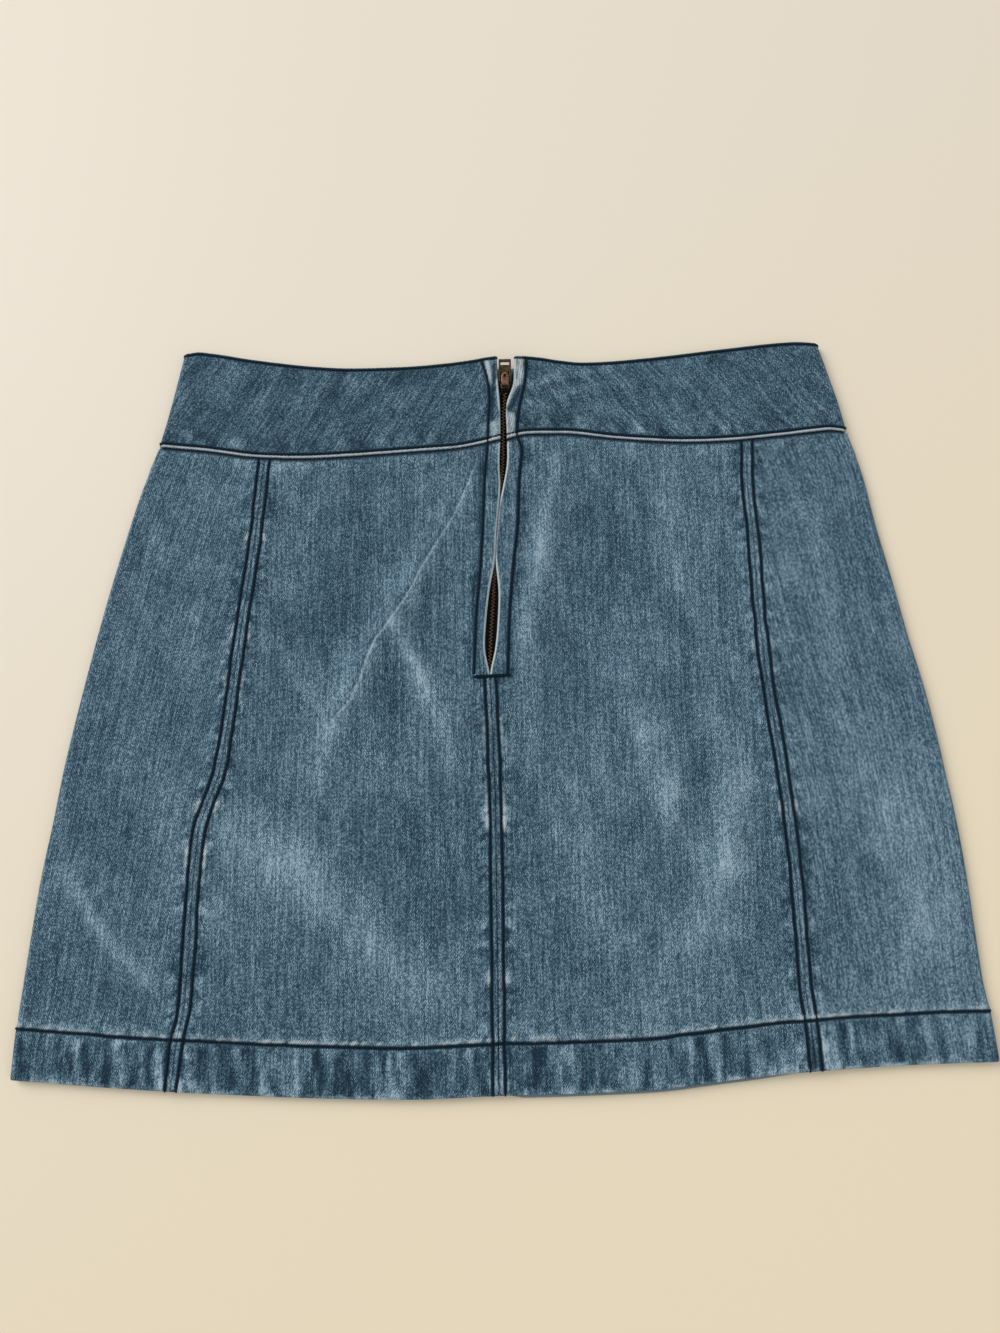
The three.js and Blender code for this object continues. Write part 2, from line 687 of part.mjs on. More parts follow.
function add(name, geometry, look) {
  const mesh = new THREE.Mesh(geometry, new THREE.MeshStandardMaterial(look));
  mesh.name = name;
  skirt.add(mesh);
}

add("front_panel", frontPanel(), DENIM);
for (const [name, side] of [
  ["left", -1],
  ["right", 1],
]) {
  add(`back_panel_${name}`, backPanel(side), DENIM);
  add(`side_panel_${name}`, sidePanel(side), DENIM);
  add(`zip_tape_${name}`, zipTape(side), TAPE_BLACK);
}
add("waistband", waistband(), DENIM);
add("zip_chain", zipChain(), BRONZE);
add("zip_slider", zipSlider(), BRONZE);
add("zip_pull_tab", pullTab(), DARK_BRONZE);

export default skirt;
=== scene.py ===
"""A denim mini skirt lying flat with its back upwards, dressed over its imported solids.

Shapes are worked out in millimetres, in the frame of the solids (waist towards +Y, up +Z), and put into
the meshes in metres. The cloth of every panel is one closed wall: an outer and an inner grid of points.
"""

from __future__ import annotations

import logging
import math
from dataclasses import dataclass, field
from enum import Enum
from typing import Sequence

import bpy
import numpy as np
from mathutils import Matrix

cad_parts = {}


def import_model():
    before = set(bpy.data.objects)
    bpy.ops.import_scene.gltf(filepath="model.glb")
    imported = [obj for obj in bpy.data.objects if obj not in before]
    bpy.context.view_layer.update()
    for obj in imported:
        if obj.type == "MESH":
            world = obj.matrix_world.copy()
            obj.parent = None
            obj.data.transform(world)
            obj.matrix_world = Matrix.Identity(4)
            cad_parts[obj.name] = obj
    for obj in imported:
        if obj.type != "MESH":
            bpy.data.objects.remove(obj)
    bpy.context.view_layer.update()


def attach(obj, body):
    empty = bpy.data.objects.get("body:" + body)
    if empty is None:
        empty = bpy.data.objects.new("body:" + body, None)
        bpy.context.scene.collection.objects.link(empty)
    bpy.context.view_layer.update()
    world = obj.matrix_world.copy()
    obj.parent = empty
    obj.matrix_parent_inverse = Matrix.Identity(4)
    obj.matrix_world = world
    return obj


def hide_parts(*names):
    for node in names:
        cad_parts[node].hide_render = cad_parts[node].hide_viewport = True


Array = np.ndarray
Rows = tuple[tuple[float, ...], ...]

MM = 0.001
LOG = logging.getLogger("denim_skirt")

# Height up the panel, then x of the left fold, left seam, right seam and right fold.
PANEL_LINES: Rows = (
    (0, -246.7, -166.2, 154.4, 246.7),
    (23, -245.5, -164.1, 153.2, 244.6),
    (38, -244.2, -161.6, 152.1, 242.4),
    (68, -241.2, -160.3, 151.7, 240.5),
    (98, -237.9, -159.4, 151.1, 238.6),
    (128, -233.2, -157.3, 149.4, 235.5),
    (143, -231.1, -153.1, 148.1, 233.3),
    (158, -228.9, -148.0, 146.9, 231.3),
    (188, -223.3, -143.6, 143.7, 226.3),
    (218, -217.3, -140.5, 141.4, 219.7),
    (248, -210.8, -137.1, 140.3, 213.9),
    (278, -203.5, -133.3, 139.9, 207.7),
    (308, -195.4, -130.2, 138.3, 202.5),
    (333, -186.9, -127.7, 139.1, 195.4),
)
# x, then y of the back's hem edge.
HEM_EDGE: Rows = (
    (-246.7, -188.1),
    (-191, -192.9),
    (-132, -196.9),
    (-87, -199.2),
    (-42, -200.3),
    (-5, -199.2),
    (34, -198.7),
    (76, -197.4),
    (106, -194.3),
    (142, -190.9),
    (196, -188.2),
    (246.7, -187.0),
)
# x, then y of the waist seam on the back.
WAIST_SEAM: Rows = (
    (-187, 143.0),
    (-162, 140.6),
    (-134, 136.6),
    (-105, 135.5),
    (-76, 136.6),
    (-47, 138.4),
    (-18, 140.3),
    (0, 143.0),
    (15, 147.0),
    (38, 147.8),
    (66, 144.4),
    (101, 141.9),
    (130, 142.3),
    (158, 144.7),
    (187, 147.4),
    (195.4, 146.4),
)
# x, then y of the waistband's top edge.
BAND_TOP: Rows = (
    (-174.7, 198.6),
    (-167, 199.4),
    (-135, 194.2),
    (-91, 189.0),
    (-47, 189.2),
    (-10, 192.2),
    (5, 193.2),
    (19, 193.0),
    (46, 190.0),
    (89, 192.7),
    (133, 197.4),
    (169, 200.6),
    (182.5, 199.6),
)
# Share of the band's height, then x of its left and right fold.
BAND_FOLDS: Rows = ((0, -186.9, 195.4), (0.35, -182.2, 191.6), (1, -174.7, 182.5))
# y, then x of the two edges that meet at the centre back.
CENTRE_EDGES: Rows = (
    (-200, -3.6, -3.3),
    (-110, -3.3, -3.0),
    (-50, -3.4, -3.1),
    (4, -4.8, -4.5),
    (13, -5.2, -4.9),
    (26, -7.4, -2.2),
    (39, -6.9, -0.7),
    (58, -4.7, 0.2),
    (76, -1.4, -1.1),
    (93, -0.2, 0.1),
    (108, 1.4, 1.7),
    (117, 2.1, 3.6),
    (131, 1.9, 6.0),
    (148, 2.7, 6.1),
    (164, 2.6, 6.2),
    (176, 1.9, 10.0),
    (186, 1.5, 10.8),
    (196, 1.6, 11.1),
)
# y, then x of the zip's middle.
ZIP_LINE: Rows = (
    (-40, -5.5),
    (13, -5.3),
    (60, -2.3),
    (100, 1.0),
    (133, 3.7),
    (160, 4.5),
    (173, 5.6),
    (200, 5.9),
)
# y, then x of the row of stitches on each side of the zip.
ZIP_ROWS: dict[int, Rows] = {
    -1: (
        (11.2, -13.7),
        (44.9, -11.9),
        (70.3, -9.5),
        (96.2, -7.7),
        (122.6, -6.4),
        (139.9, -4.6),
        (156.1, -3.8),
        (169.7, -3.2),
        (180.8, -4.4),
        (192.6, -8.0),
        (200, -10.5),
    ),
    1: (
        (11.4, 4.2),
        (44.6, 5.9),
        (70.1, 8.2),
        (95.9, 11.2),
        (122.3, 12.6),
        (138.3, 14.2),
        (146.4, 11.8),
        (162.6, 13.4),
        (179, 16.9),
        (191.4, 17.8),
        (200, 18.3),
    ),
}
# A ridge runs from x0, y0 to x1, y1 with a height and a width. These are the ones that the solids hold.
MAIN_RIDGES: Rows = (
    (-18, 128, -42, 72, 2.0, 9),
    (-42, 72, -82, 2, 3.2, 13),
    (-82, 2, -88, -52, 2.4, 20),
    (-60, 42, -20, -36, 2.0, 11),
    (36, 130, 18, 30, 2.2, 10),
    (16, 30, 24, -24, 2.0, 13),
    (66, 6, 92, -56, 2.4, 14),
    (110, -8, 120, -90, 2.2, 16),
    (-212, -86, -174, -140, 2.0, 12),
    (-178, 92, -168, 10, 1.4, 18),
    (176, 96, 182, -20, 1.6, 18),
    (-110, -96, -36, -150, 1.6, 22),
    (60, -112, 128, -142, 1.4, 20),
)
BAND_RIDGES: Rows = (
    (-150, 186, -40, 164, 0.9, 9),
    (26, 166, 70, 176, 1.2, 7),
    (110, 166, 166, 176, 0.8, 9),
)
# Finer creases, in the same columns; a negative height is a trough.
FINE_CREASES: Rows = (
    (-12, 127, -20, 105, 0.7, 4),
    (-20, 105, -44, 69, 1.1, 3.6),
    (-44, 69, -66, 35, 1.3, 3.8),
    (-66, 35, -84, 0, 1.5, 4.2),
    (-57, 48, -41, 10, 1.0, 4),
    (-41, 10, -24, -32, 0.9, 5),
    (35, 141, 28, 104, 0.9, 4),
    (28, 104, 20, 75, 0.9, 4),
    (20, 75, 14, 20, 0.7, 5),
    (14, 20, 16, -30, 0.6, 5),
    (75, 132, 94, 106, 0.5, 7),
    (94, 106, 100, 63, 0.6, 7),
    (65, 18, 78, -24, 0.9, 5),
    (78, -24, 90, -66, 0.9, 5),
    (118, -34, 119, -74, 0.8, 6),
    (119, -74, 96, -130, 0.8, 7),
    (-225, -86, -209, -111, 1.1, 3.6),
    (-209, -111, -179, -143, 1.1, 3.8),
    (-131, 50, -100, 4, 0.6, 4.5),
    (-140, -66, -104, -88, 0.6, 8),
    (-30, 60, -22, 20, -0.6, 7),
    (44, 96, 40, 20, -0.6, 9),
    (-100, 60, -118, -10, -0.5, 14),
    (100, 20, 106, -40, -0.6, 8),
)
BAND_CREASES: Rows = (
    (28, 178, 60, 184, 0.5, 3.5),
    (34, 170, 88, 178, 0.4, 4),
    (19, 181.4, 31, 179.4, 0.6, 2.2),
    (17, 175, 29, 177, 0.7, 2.2),
    (29, 177, 36, 183, 0.6, 2.4),
    (15.4, 164.5, 27, 163.4, 0.5, 2.5),
    (27, 163.4, 39, 166, 0.5, 3),
    (17, 169, 27, 168.7, -0.7, 2.4),
    (18.4, 186.8, 22.4, 180.4, -0.4, 2.5),
    (24.8, 155.5, 24.7, 152, -0.6, 2.2),
    (-17.7, 183.7, -15.2, 177.4, 0.5, 3),
    (-11.3, 159.6, -8.1, 147.2, 0.5, 2.5),
    (-25.4, 159.8, -23.8, 149.2, 0.5, 2.5),
    (-23.6, 175.8, -19.5, 165, -0.5, 4),
    (-64, 176, -48, 158, 0.3, 4),
    (-96, 184, -104, 160, 0.3, 4),
    (-112, 184, -126, 156, -0.5, 3),
    (-100, 182, -116, 154, 0.5, 3),
    (-84, 184, -100, 156, -0.5, 3),
    (-74, 182, -88, 158, 0.4, 3),
    (30, 174, 62, 180, -0.5, 2.5),
)
# Pale worn patches on the band's turned ends, and dark creases where the last but one number is negative; their
# darkness is painted shade.
END_MARKS: Rows = (
    (-4.4, 189, -2.6, 177, 0.75, 1.8),
    (0.0, 188, -0.7, 173, -0.85, 0.9),
    (-1.3, 173, -2.0, 155.5, -1.0, 1.3),
    (1.3, 178, 2.4, 161, 0.85, 1.0),
    (-0.7, 152.6, -0.5, 142, 0.70, 2.8),
    (13.8, 190, 13.1, 176, 0.72, 3.2),
    (11.2, 177, 7.2, 165, 0.65, 1.7),
    (14.2, 173.5, 8.4, 161.5, -1.1, 1.4),
    (8.7, 158, 8.8, 144.5, 0.72, 2.5),
    (12.2, 159, 11.8, 145, -0.8, 0.7),
)
# y, x and strength of the painted highlight and shade along the sharp crease that runs down to the left from the
# zip.
SHARP_CREASE_LIGHTING: Rows = (
    (-22, -99, 0.0),
    (-7, -86, 0.45),
    (0, -79.7, 0.8),
    (12.7, -74, 1.0),
    (28.3, -68.4, 1.0),
    (41.1, -59.8, 1.0),
    (58.7, -48.2, 0.95),
    (75.6, -39.4, 0.85),
    (105, -22, 0.7),
    (127, -12.5, 0.5),
    (137, -8, 0.0),
)
# Patches that are paler, or darker where the strength is negative: x0, y0, x1, y1, strength, width. Some are wash
# # fading; the thin lines along ridges and creases are painted highlights, and the dark ones beside them painted
# shade.
FADE_AND_PAINTED_LIGHT: Rows = (
    (-55, 42, -46, 22, 0.70, 2.8),
    (-46, 22, -38, 4, 0.70, 3.0),
    (-38, 4, -27, -22, 0.30, 3.4),
    (205, -60, 222, -150, 0.35, 26),
    (-240, -181, -200, -187, -0.80, 9),
    (165, -176, 240, -174, 0.70, 10),
    (-50, 66, -64, 36, -0.35, 4.0),
    (-58, 28, -60, 0, -0.40, 9.0),
    (-11.6, 129, -21.7, 100, 0.45, 1.8),
    (32, 132, 27, 99, 0.60, 2.4),
    (27, 99, 18, 60, 0.45, 3.0),
    (160, 110, 190, -40, 0.22, 34),
    (200, -40, 212, -150, 0.25, 30),
    (-110, -110, -60, -150, 0.18, 40),
    (60, -60, 90, -140, 0.20, 40),
    (-24, 120, -42, 82, 0.30, 6),
    (-42, 82, -60, 45, 0.45, 5),
    (-60, 45, -80, 8, 0.36, 6),
    (-82, 4, -90, -16, 0.95, 7),
    (-84, -10, -100, -40, 0.45, 11),
    (-60, 45, -42, 12, 0.40, 5),
    (-42, 12, -22, -28, 0.30, 6),
    (-142, -64, -112, -82, 0.60, 15),
    (-112, -82, -93, -102, 0.68, 14),
    (-93, -102, -50, -140, 0.52, 13),
    (-50, -140, -28, -156, 0.25, 12),
    (-145, -112, -122, -142, 0.30, 8),
    (-172, -55, -173, -92, 0.45, 7),
    (-224, -87, -207, -114, 0.70, 4),
    (-207, -114, -179, -143, 0.70, 5),
    (-192, 90, -204, 10, 0.18, 12),
    (-104, 113, -115, 62, 0.35, 9),
    (-158, 118, -164, 20, 0.28, 7),
    (-131, 50, -98, 0, 0.32, 6),
    (31, 133, 23, 81, 0.40, 7),
    (23, 81, 14, 35, 0.35, 8),
    (14, 35, 13, -40, 0.32, 8),
    (75, 141, 94, 106, 0.30, 10),
    (94, 106, 100, 63, 0.45, 11),
    (100, 63, 118, 24, 0.35, 9),
    (66, 22, 78, -18, 0.40, 8),
    (78, -18, 87, -50, 0.62, 8),
    (87, -50, 94, -80, 0.35, 8),
    (115, -15, 124, -50, 0.50, 9),
    (124, -50, 116, -89, 0.80, 10),
    (116, -89, 99, -122, 0.68, 11),
    (99, -122, 70, -155, 0.35, 12),
    (46, -33, 39, -72, 0.30, 12),
    (39, -72, 50, -112, 0.28, 12),
    (168, 104, 173, 62, 0.30, 12),
    (191, -20, 207, -67, 0.25, 14),
    (207, -67, 218, -122, 0.45, 14),
    (222, 36, 236, -122, 0.20, 8),
    (-79, 98, -90, 33, -0.40, 15),
    (-52, -58, -40, -104, -0.30, 16),
    (56, 100, 55, 60, -0.35, 14),
    (98, 10, 106, -42, -0.40, 9),
    (104, -42, 84, -104, -0.35, 9),
    (-214, -10, -200, -76, -0.35, 14),
    (-218, -120, -224, -150, -0.45, 12),
    (-205, -146, -182, -160, -0.35, 10),
    (137, -60, 138, -122, -0.35, 10),
    (-8, 110, -10, 30, -0.40, 6),
    (-25, -50, -20, -100, -0.20, 14),
)


def ease(low: float, high: float, value: Array | float) -> Array:
    """0 below low, 1 above high, and an even S between: t squared times (3 - 2 t)."""
    t = np.clip((np.asarray(value, float) - low) / (high - low), 0.0, 1.0)
    return t * t * (3.0 - 2.0 * t)


def bell(value: Array | float, middle: float, width: float) -> Array:
    """e to the minus square of the distance from the middle in widths."""
    return np.exp(-(((np.asarray(value, float) - middle) / width) ** 2))


def roll(away: Array, radius: float) -> Array:
    """Drop of a rounded edge at a distance from it: the rest of a quarter circle, and 0 past the radius."""
    inside = np.clip(radius - away, 0.0, radius)
    return radius - np.sqrt(np.maximum(radius * radius - inside * inside, 0.0))


def lines_sum(rows: Rows, x: Array, y: Array, largest: bool = False) -> Array:
    """What a table of soft lines adds at each point: a bell across each line, fading past its ends.

    Args:
        rows: x0, y0, x1, y1, height and width of each line.
        x: x of each point.
        y: y of each point.
        largest: takes the largest line at a point, and not the sum of all.

    Returns:
        The height at each point.
    """
    total = np.zeros(np.broadcast(x, y).shape)
    for x0, y0, x1, y1, height, width in rows:
        dx, dy = x1 - x0, y1 - y0
        along = np.clip(((x - x0) * dx + (y - y0) * dy) / (dx * dx + dy * dy), 0.0, 1.0)
        away = np.hypot(x - x0 - along * dx, y - y0 - along * dy) / width
        one = height * np.exp(-away * away)
        total = np.maximum(total, one) if largest else total + one
    return total


@dataclass(frozen=True)
class Noise:
    """Value noise from -1 to 1: random values on a lattice that repeats, eased between its points."""

    seed: int
    cells: int = 128

    def at(self, u: Array, v: Array | float = 0.0) -> Array:
        """The noise at each point.

        Args:
            u: first coordinate, in lattice cells.
            v: second coordinate, in lattice cells.

        Returns:
            The four lattice values round each point, mixed by the eased share of the way between them.
        """
        lattice = np.random.default_rng(self.seed).uniform(-1.0, 1.0, (self.cells, self.cells))
        u, v = np.broadcast_arrays(np.asarray(u, float), np.asarray(v, float))
        iu, iv = np.floor(u).astype(int), np.floor(v).astype(int)
        tu, tv = ease(0, 1, u - iu), ease(0, 1, v - iv)
        a, b = iu % self.cells, (iu + 1) % self.cells
        c, d = iv % self.cells, (iv + 1) % self.cells
        near = lattice[a, c] * (1 - tu) + lattice[b, c] * tu
        far = lattice[a, d] * (1 - tu) + lattice[b, d] * tu
        return near * (1 - tv) + far * tv


@dataclass(frozen=True)
class Track:
    """A smooth curve through keyed values, level past its ends."""

    keys: tuple[float, ...]
    values: tuple[float, ...]

    @classmethod
    def of(cls, rows: Rows, column: int) -> "Track":
        """A track of one column of a table over the table's first column."""
        return cls(tuple(row[0] for row in rows), tuple(row[column] for row in rows))

    def at(self, value: Array | float) -> Array:
        """The curve at each value: a cubic in each step, with its slopes taken across the neighbouring keys."""
        k, v = np.asarray(self.keys, float), np.asarray(self.values, float)
        x = np.clip(np.asarray(value, float), k[0], k[-1])
        i = np.clip(np.searchsorted(k, x, side="right") - 1, 0, len(k) - 2)
        low, high = np.maximum(i - 1, 0), np.minimum(i + 2, len(k) - 1)
        step = k[i + 1] - k[i]
        s0 = (v[i + 1] - v[low]) / (k[i + 1] - k[low]) * step
        s1 = (v[high] - v[i]) / (k[high] - k[i]) * step
        t = (x - k[i]) / step
        t2, t3 = t * t, t * t * t
        start = (2 * t3 - 3 * t2 + 1) * v[i] + (t3 - 2 * t2 + t) * s0
        return start + (3 * t2 - 2 * t3) * v[i + 1] + (t3 - t2) * s1


class Side(Enum):
    """The two sides of the skirt, by the sign of x."""

    LEFT = -1
    RIGHT = 1

    @property
    def word(self) -> str:
        """The side's name in a piece's name."""
        return self.name.lower()


class Slot(Enum):
    """The record's material slots."""

    DENIM = "denim"
    TAPE = "zip_tape"
    METAL = "zip_metal"


class Body(Enum):
    """The bodies that pieces ride on."""

    SKIRT = "skirt"
    TAB = "pull_tab"


@dataclass(frozen=True)
class Lay:
    """How the cloth lies: its thickness, its edges and seams, and the height of each layer."""

    cloth: float = 1.2
    double: float = 2.2
    air: float = 0.4
    seam_gap: float = 0.3
    fold_inner_single: float = 1.0
    fold_inner_double: float = 0.5
    fold_settle: float = 16.0
    length: float = 333.0
    hem_depth: float = 25.0
    hem_settle: float = 18.0
    waist_allowance: float = 13.0
    waist_settle: float = 26.0
    waist_clear: float = 13.0
    front_waist: float = 138.5
    front_hidden: float = 1.2
    front_seam: tuple[float, float] = (150.0, 118.0)
    peek: tuple[float, float, float, float, float] = (1.7, -2.0, 10.0, 120.0, 165.0)
    zip_lift: float = 2.6
    zip_shoulder: tuple[float, float] = (5.0, 30.0)
    zip_foot: tuple[float, float] = (-30.0, 12.0)
    zip_x: float = 4.0
    tack_y: float = 11.7

    def fold(self, side: Side, up: Array | float) -> Array:
        """x of the side fold at a height up the panel."""
        return Track.of(PANEL_LINES, 1 if side is Side.LEFT else 4).at(up)

    def seam(self, side: Side, up: Array | float) -> Array:
        """x of the back princess seam at a height up the panel."""
        return Track.of(PANEL_LINES, 2 if side is Side.LEFT else 3).at(up)

    def band_fold(self, side: Side, share: Array | float) -> Array:
        """x of the waistband's fold at a share of its height."""
        return Track.of(BAND_FOLDS, 1 if side is Side.LEFT else 2).at(share)

    def centre(self, side: Side, y: Array | float) -> Array:
        """x of the edge at the centre back."""
        return Track.of(CENTRE_EDGES, 1 if side is Side.LEFT else 2).at(y)

    def zip_row(self, side: Side, y: Array | float) -> Array:
        """x of the row of stitches beside the zip."""
        return Track.of(ZIP_ROWS[side.value], 1).at(y)

    def zip_middle(self, y: Array | float) -> Array:
        """x of the zip's middle."""
        return Track.of(ZIP_LINE, 1).at(y)

    def hem_y(self, x: Array | float) -> Array:
        """y of the back's hem edge."""
        return Track.of(HEM_EDGE, 1).at(x)

    def waist_y(self, x: Array | float) -> Array:
        """y of the waist seam on the back."""
        return Track.of(WAIST_SEAM, 1).at(x)

    def band_top_y(self, x: Array | float) -> Array:
        """y of the waistband's top edge."""
        return Track.of(BAND_TOP, 1).at(x)

    def thickness(self, up: Array) -> Array:
        """Wall of a panel: one layer, and two in the hem and at the waist seam."""
        top = self.length - self.waist_allowance
        hem = 1 - ease(self.hem_depth, self.hem_depth + 3, up)
        return self.cloth + (self.double - self.cloth) * np.maximum(hem, ease(top - 3, top, up))

    def flat(self, up: Array) -> Array:
        """Outer height of the back on the front: two layers and air, and twice the extra at hem and waist."""
        top = self.length - self.waist_allowance
        hem = 1 - ease(self.hem_depth, self.hem_depth + self.hem_settle, up)
        climb = ease(top - self.waist_settle, top - self.waist_clear, up)
        extra = (self.double - self.cloth) * (2 * hem + climb + ease(top - 6, top, up))
        return 2 * self.cloth + self.air + extra

    def radius(self, thickness: Array) -> Array:
        """Outer radius of the side fold round a wall of that thickness."""
        doubled = (thickness - self.cloth) / (self.double - self.cloth)
        return thickness + self.fold_inner_single * (1 - doubled) + self.fold_inner_double * doubled

    def lift(self, x: Array, y: Array) -> Array:
        """How far the back rides up over the zip: full beside it, gone at its shoulder and below its foot."""
        away = np.abs(x - self.zip_middle(y))
        return self.zip_lift * (1 - ease(*self.zip_shoulder, away)) * ease(*self.zip_foot, y)

    def back_xy(self, side: Side, up: Array, part: Array, gap: float) -> tuple[Array, Array]:
        """Point of a back panel, from its princess seam (part 0) to the centre back (part 1).

        Args:
            side: which back panel.
            up: height up the panel.
            part: share of the way across.
            gap: gap left at the seams.

        Returns:
            x and y: y runs evenly from the hem to the waist seam, and x evenly between the two edges.
        """
        seam = self.seam(side, up) - side.value * gap / 2
        hem_x = self.seam(side, 0) * (1 - part) + self.centre(side, -200) * part
        waist_x = self.seam(side, self.length) * (1 - part) + self.zip_x * part
        low, high = self.hem_y(hem_x), self.waist_y(waist_x) - gap
        y = low + (high - low) * up / self.length
        return seam + (self.centre(side, y) - seam) * part, y

    def side_y(self, side: Side, up: Array, part: Array, gap: float) -> Array:
        """y of a side panel's upper half, from its princess seam (part 0) to the fold (part 1)."""
        hem_x = self.seam(side, 0) * (1 - part) + self.fold(side, 0) * part
        waist_x = self.seam(side, self.length) * (1 - part) + self.fold(side, self.length) * part
        low, high = self.hem_y(hem_x), self.waist_y(waist_x) - gap
        return low + (high - low) * up / self.length

    def lower_waist_y(self, x: Array) -> Array:
        """y of the waist seam on the lower layer: an even bow between the side folds."""
        left, right = self.fold(Side.LEFT, self.length), self.fold(Side.RIGHT, self.length)
        end = np.where(x < 0, left, right)
        share = (x / end) ** 2
        return self.front_waist + (self.waist_y(end) - self.front_waist) * share

    def lower_y(self, up: Array, x: Array, gap: float) -> Array:
        """y of the lower layer at x, with the front's slightly longer hem."""
        share = x / np.where(x < 0, self.fold(Side.LEFT, up), self.fold(Side.RIGHT, up))
        hem_x = share * np.where(x < 0, self.fold(Side.LEFT, 0), self.fold(Side.RIGHT, 0))
        waist_x = share * np.where(
            x < 0, self.fold(Side.LEFT, self.length), self.fold(Side.RIGHT, self.length)
        )
        depth, start, full, easing, end = self.peek
        hang = depth * ease(start, full, hem_x) * (1 - ease(easing, end, hem_x))
        low, high = self.hem_y(hem_x) - hang, self.lower_waist_y(waist_x) - gap
        return low + (high - low) * up / self.length

    def settled(self, inset: Array, crest: Array, flat: Array) -> Array:
        """Outer height near a side fold: the crest at the fold, easing to the flat height."""
        return crest + (flat - crest) * ease(0, self.fold_settle, inset)

    def top_z(self, up: Array, x: Array, y: Array) -> Array:
        """Outer height of the panels' upper layer, before its finer relief."""
        radius = self.radius(self.thickness(up))
        inset = np.minimum(x - self.fold(Side.LEFT, up), self.fold(Side.RIGHT, up) - x) - radius
        flat = self.flat(up) + lines_sum(MAIN_RIDGES, x, y, largest=True) + self.lift(x, y)
        return self.settled(inset, 2 * radius, flat)

    def front_top(self, y: Array) -> Array:
        """Upper face of the front where the zip lies on it."""
        step = self.front_waist - self.waist_allowance
        return self.cloth + (self.double - self.cloth) * ease(step - 14, step - 7, y)


@dataclass
class Wear:
    """What the sewing and the wear add to a surface: relief in mm, and what the finish reads.

    fade is 0 for plain cloth, above it paler and below it darker, from fading and from painted highlights and
    shade on the relief; pale is 1 for white worn edges, and -1 for dark cloth that kept its indigo and for
    painted shade; rows holds three signed distances to rows of stitches; crease holds the signed distance to
    the sharp crease, and its strength, for its painted highlight and shade.
    """

    relief: Array
    fade: Array
    pale: Array
    rows: Array
    crease: Array | None = None

    @classmethod
    def plain(cls, shape: tuple[int, ...]) -> "Wear":
        """A surface with nothing on it, and no row of stitches near."""
        return cls(np.zeros(shape), np.zeros(shape), np.zeros(shape), np.full(shape + (3,), 50.0))


def stray(along: Array, seed: int) -> Array:
    """How far a row of stitches strays from its line: two sizes of noise along it."""
    noise = Noise(seed + 9)
    return 0.30 * noise.at(along / 11.0, 0.5) + 0.15 * noise.at(along / 3.5, 7.5)


@dataclass(frozen=True)
class PressedSeam:
    """A seam pressed open, with a row of stitches on each side of it."""

    row: float = 3.0
    allowance: float = 0.42
    reach: tuple[float, float] = (6.4, 9.0)
    ditch: float = 0.15
    groove: float = 0.34
    pucker: float = 0.36

    def add(self, wear: Wear, away: Array, along: Array, seed: int, where: Array | float = 1.0) -> None:
        """Adds the seam to a surface.

        The relief is the allowance's step, a ditch at the seam, a groove under the stitches, and puckers
        that are noise along the seam in a window beside the stitches. The cloth is paler on the puckers
        and in a streak between seam and stitches.

        Args:
            wear: the surface, changed in place.
            away: distance from the seam.
            along: length along the seam.
            seed: seed of the puckers.
            where: 1 where the seam runs, and 0 elsewhere.
        """
        slant = along + 0.35 * away
        tuck = Noise(seed).at(slant / 3.2, away / 9.0)
        nip = Noise(seed + 1).at(slant / 1.9, away / 3.6)
        shine = np.clip(1.7 * Noise(seed + 2).at(along / 13.0, 0.4) - 0.1, 0, 1)
        near = away - stray(along, seed) - self.row
        beside = ease(3.3, 4.2, away) * (1 - ease(5.5, 11.0, away))
        between = ease(0.4, 1.0, away) * (1 - ease(2.2, 2.8, away))
        wear.relief += where * (
            self.allowance * (1 - ease(*self.reach, away))
            - self.ditch * bell(away, 0, 0.6)
            - self.groove * bell(near, 0, 0.65)
            + self.pucker * (tuck + 0.45 * nip) * beside
            + 0.14 * nip * between
        )
        # The cloth is darker in the ditch at the seam: a painted shade.
        wear.fade += where * (
            (1.15 * tuck + 1.35 * nip - 0.20) * beside
            + 0.65 * (0.5 + 1.0 * nip) * between
            - 0.35 * bell(away, 0, 0.35)
            + 0.18 * bell(away, 7.2, 1.4)
        )
        wear.pale += where * 0.78 * shine * (0.75 + 0.5 * nip) * bell(near, 1.6, 0.95)
        wear.fade += where * 1.1 * shine * bell(near, 1.9, 1.5)
        wear.rows[..., 0] = np.where(
            (np.asarray(where) > 0.5) & (np.abs(near) < np.abs(wear.rows[..., 0])),
            near,
            wear.rows[..., 0],
        )


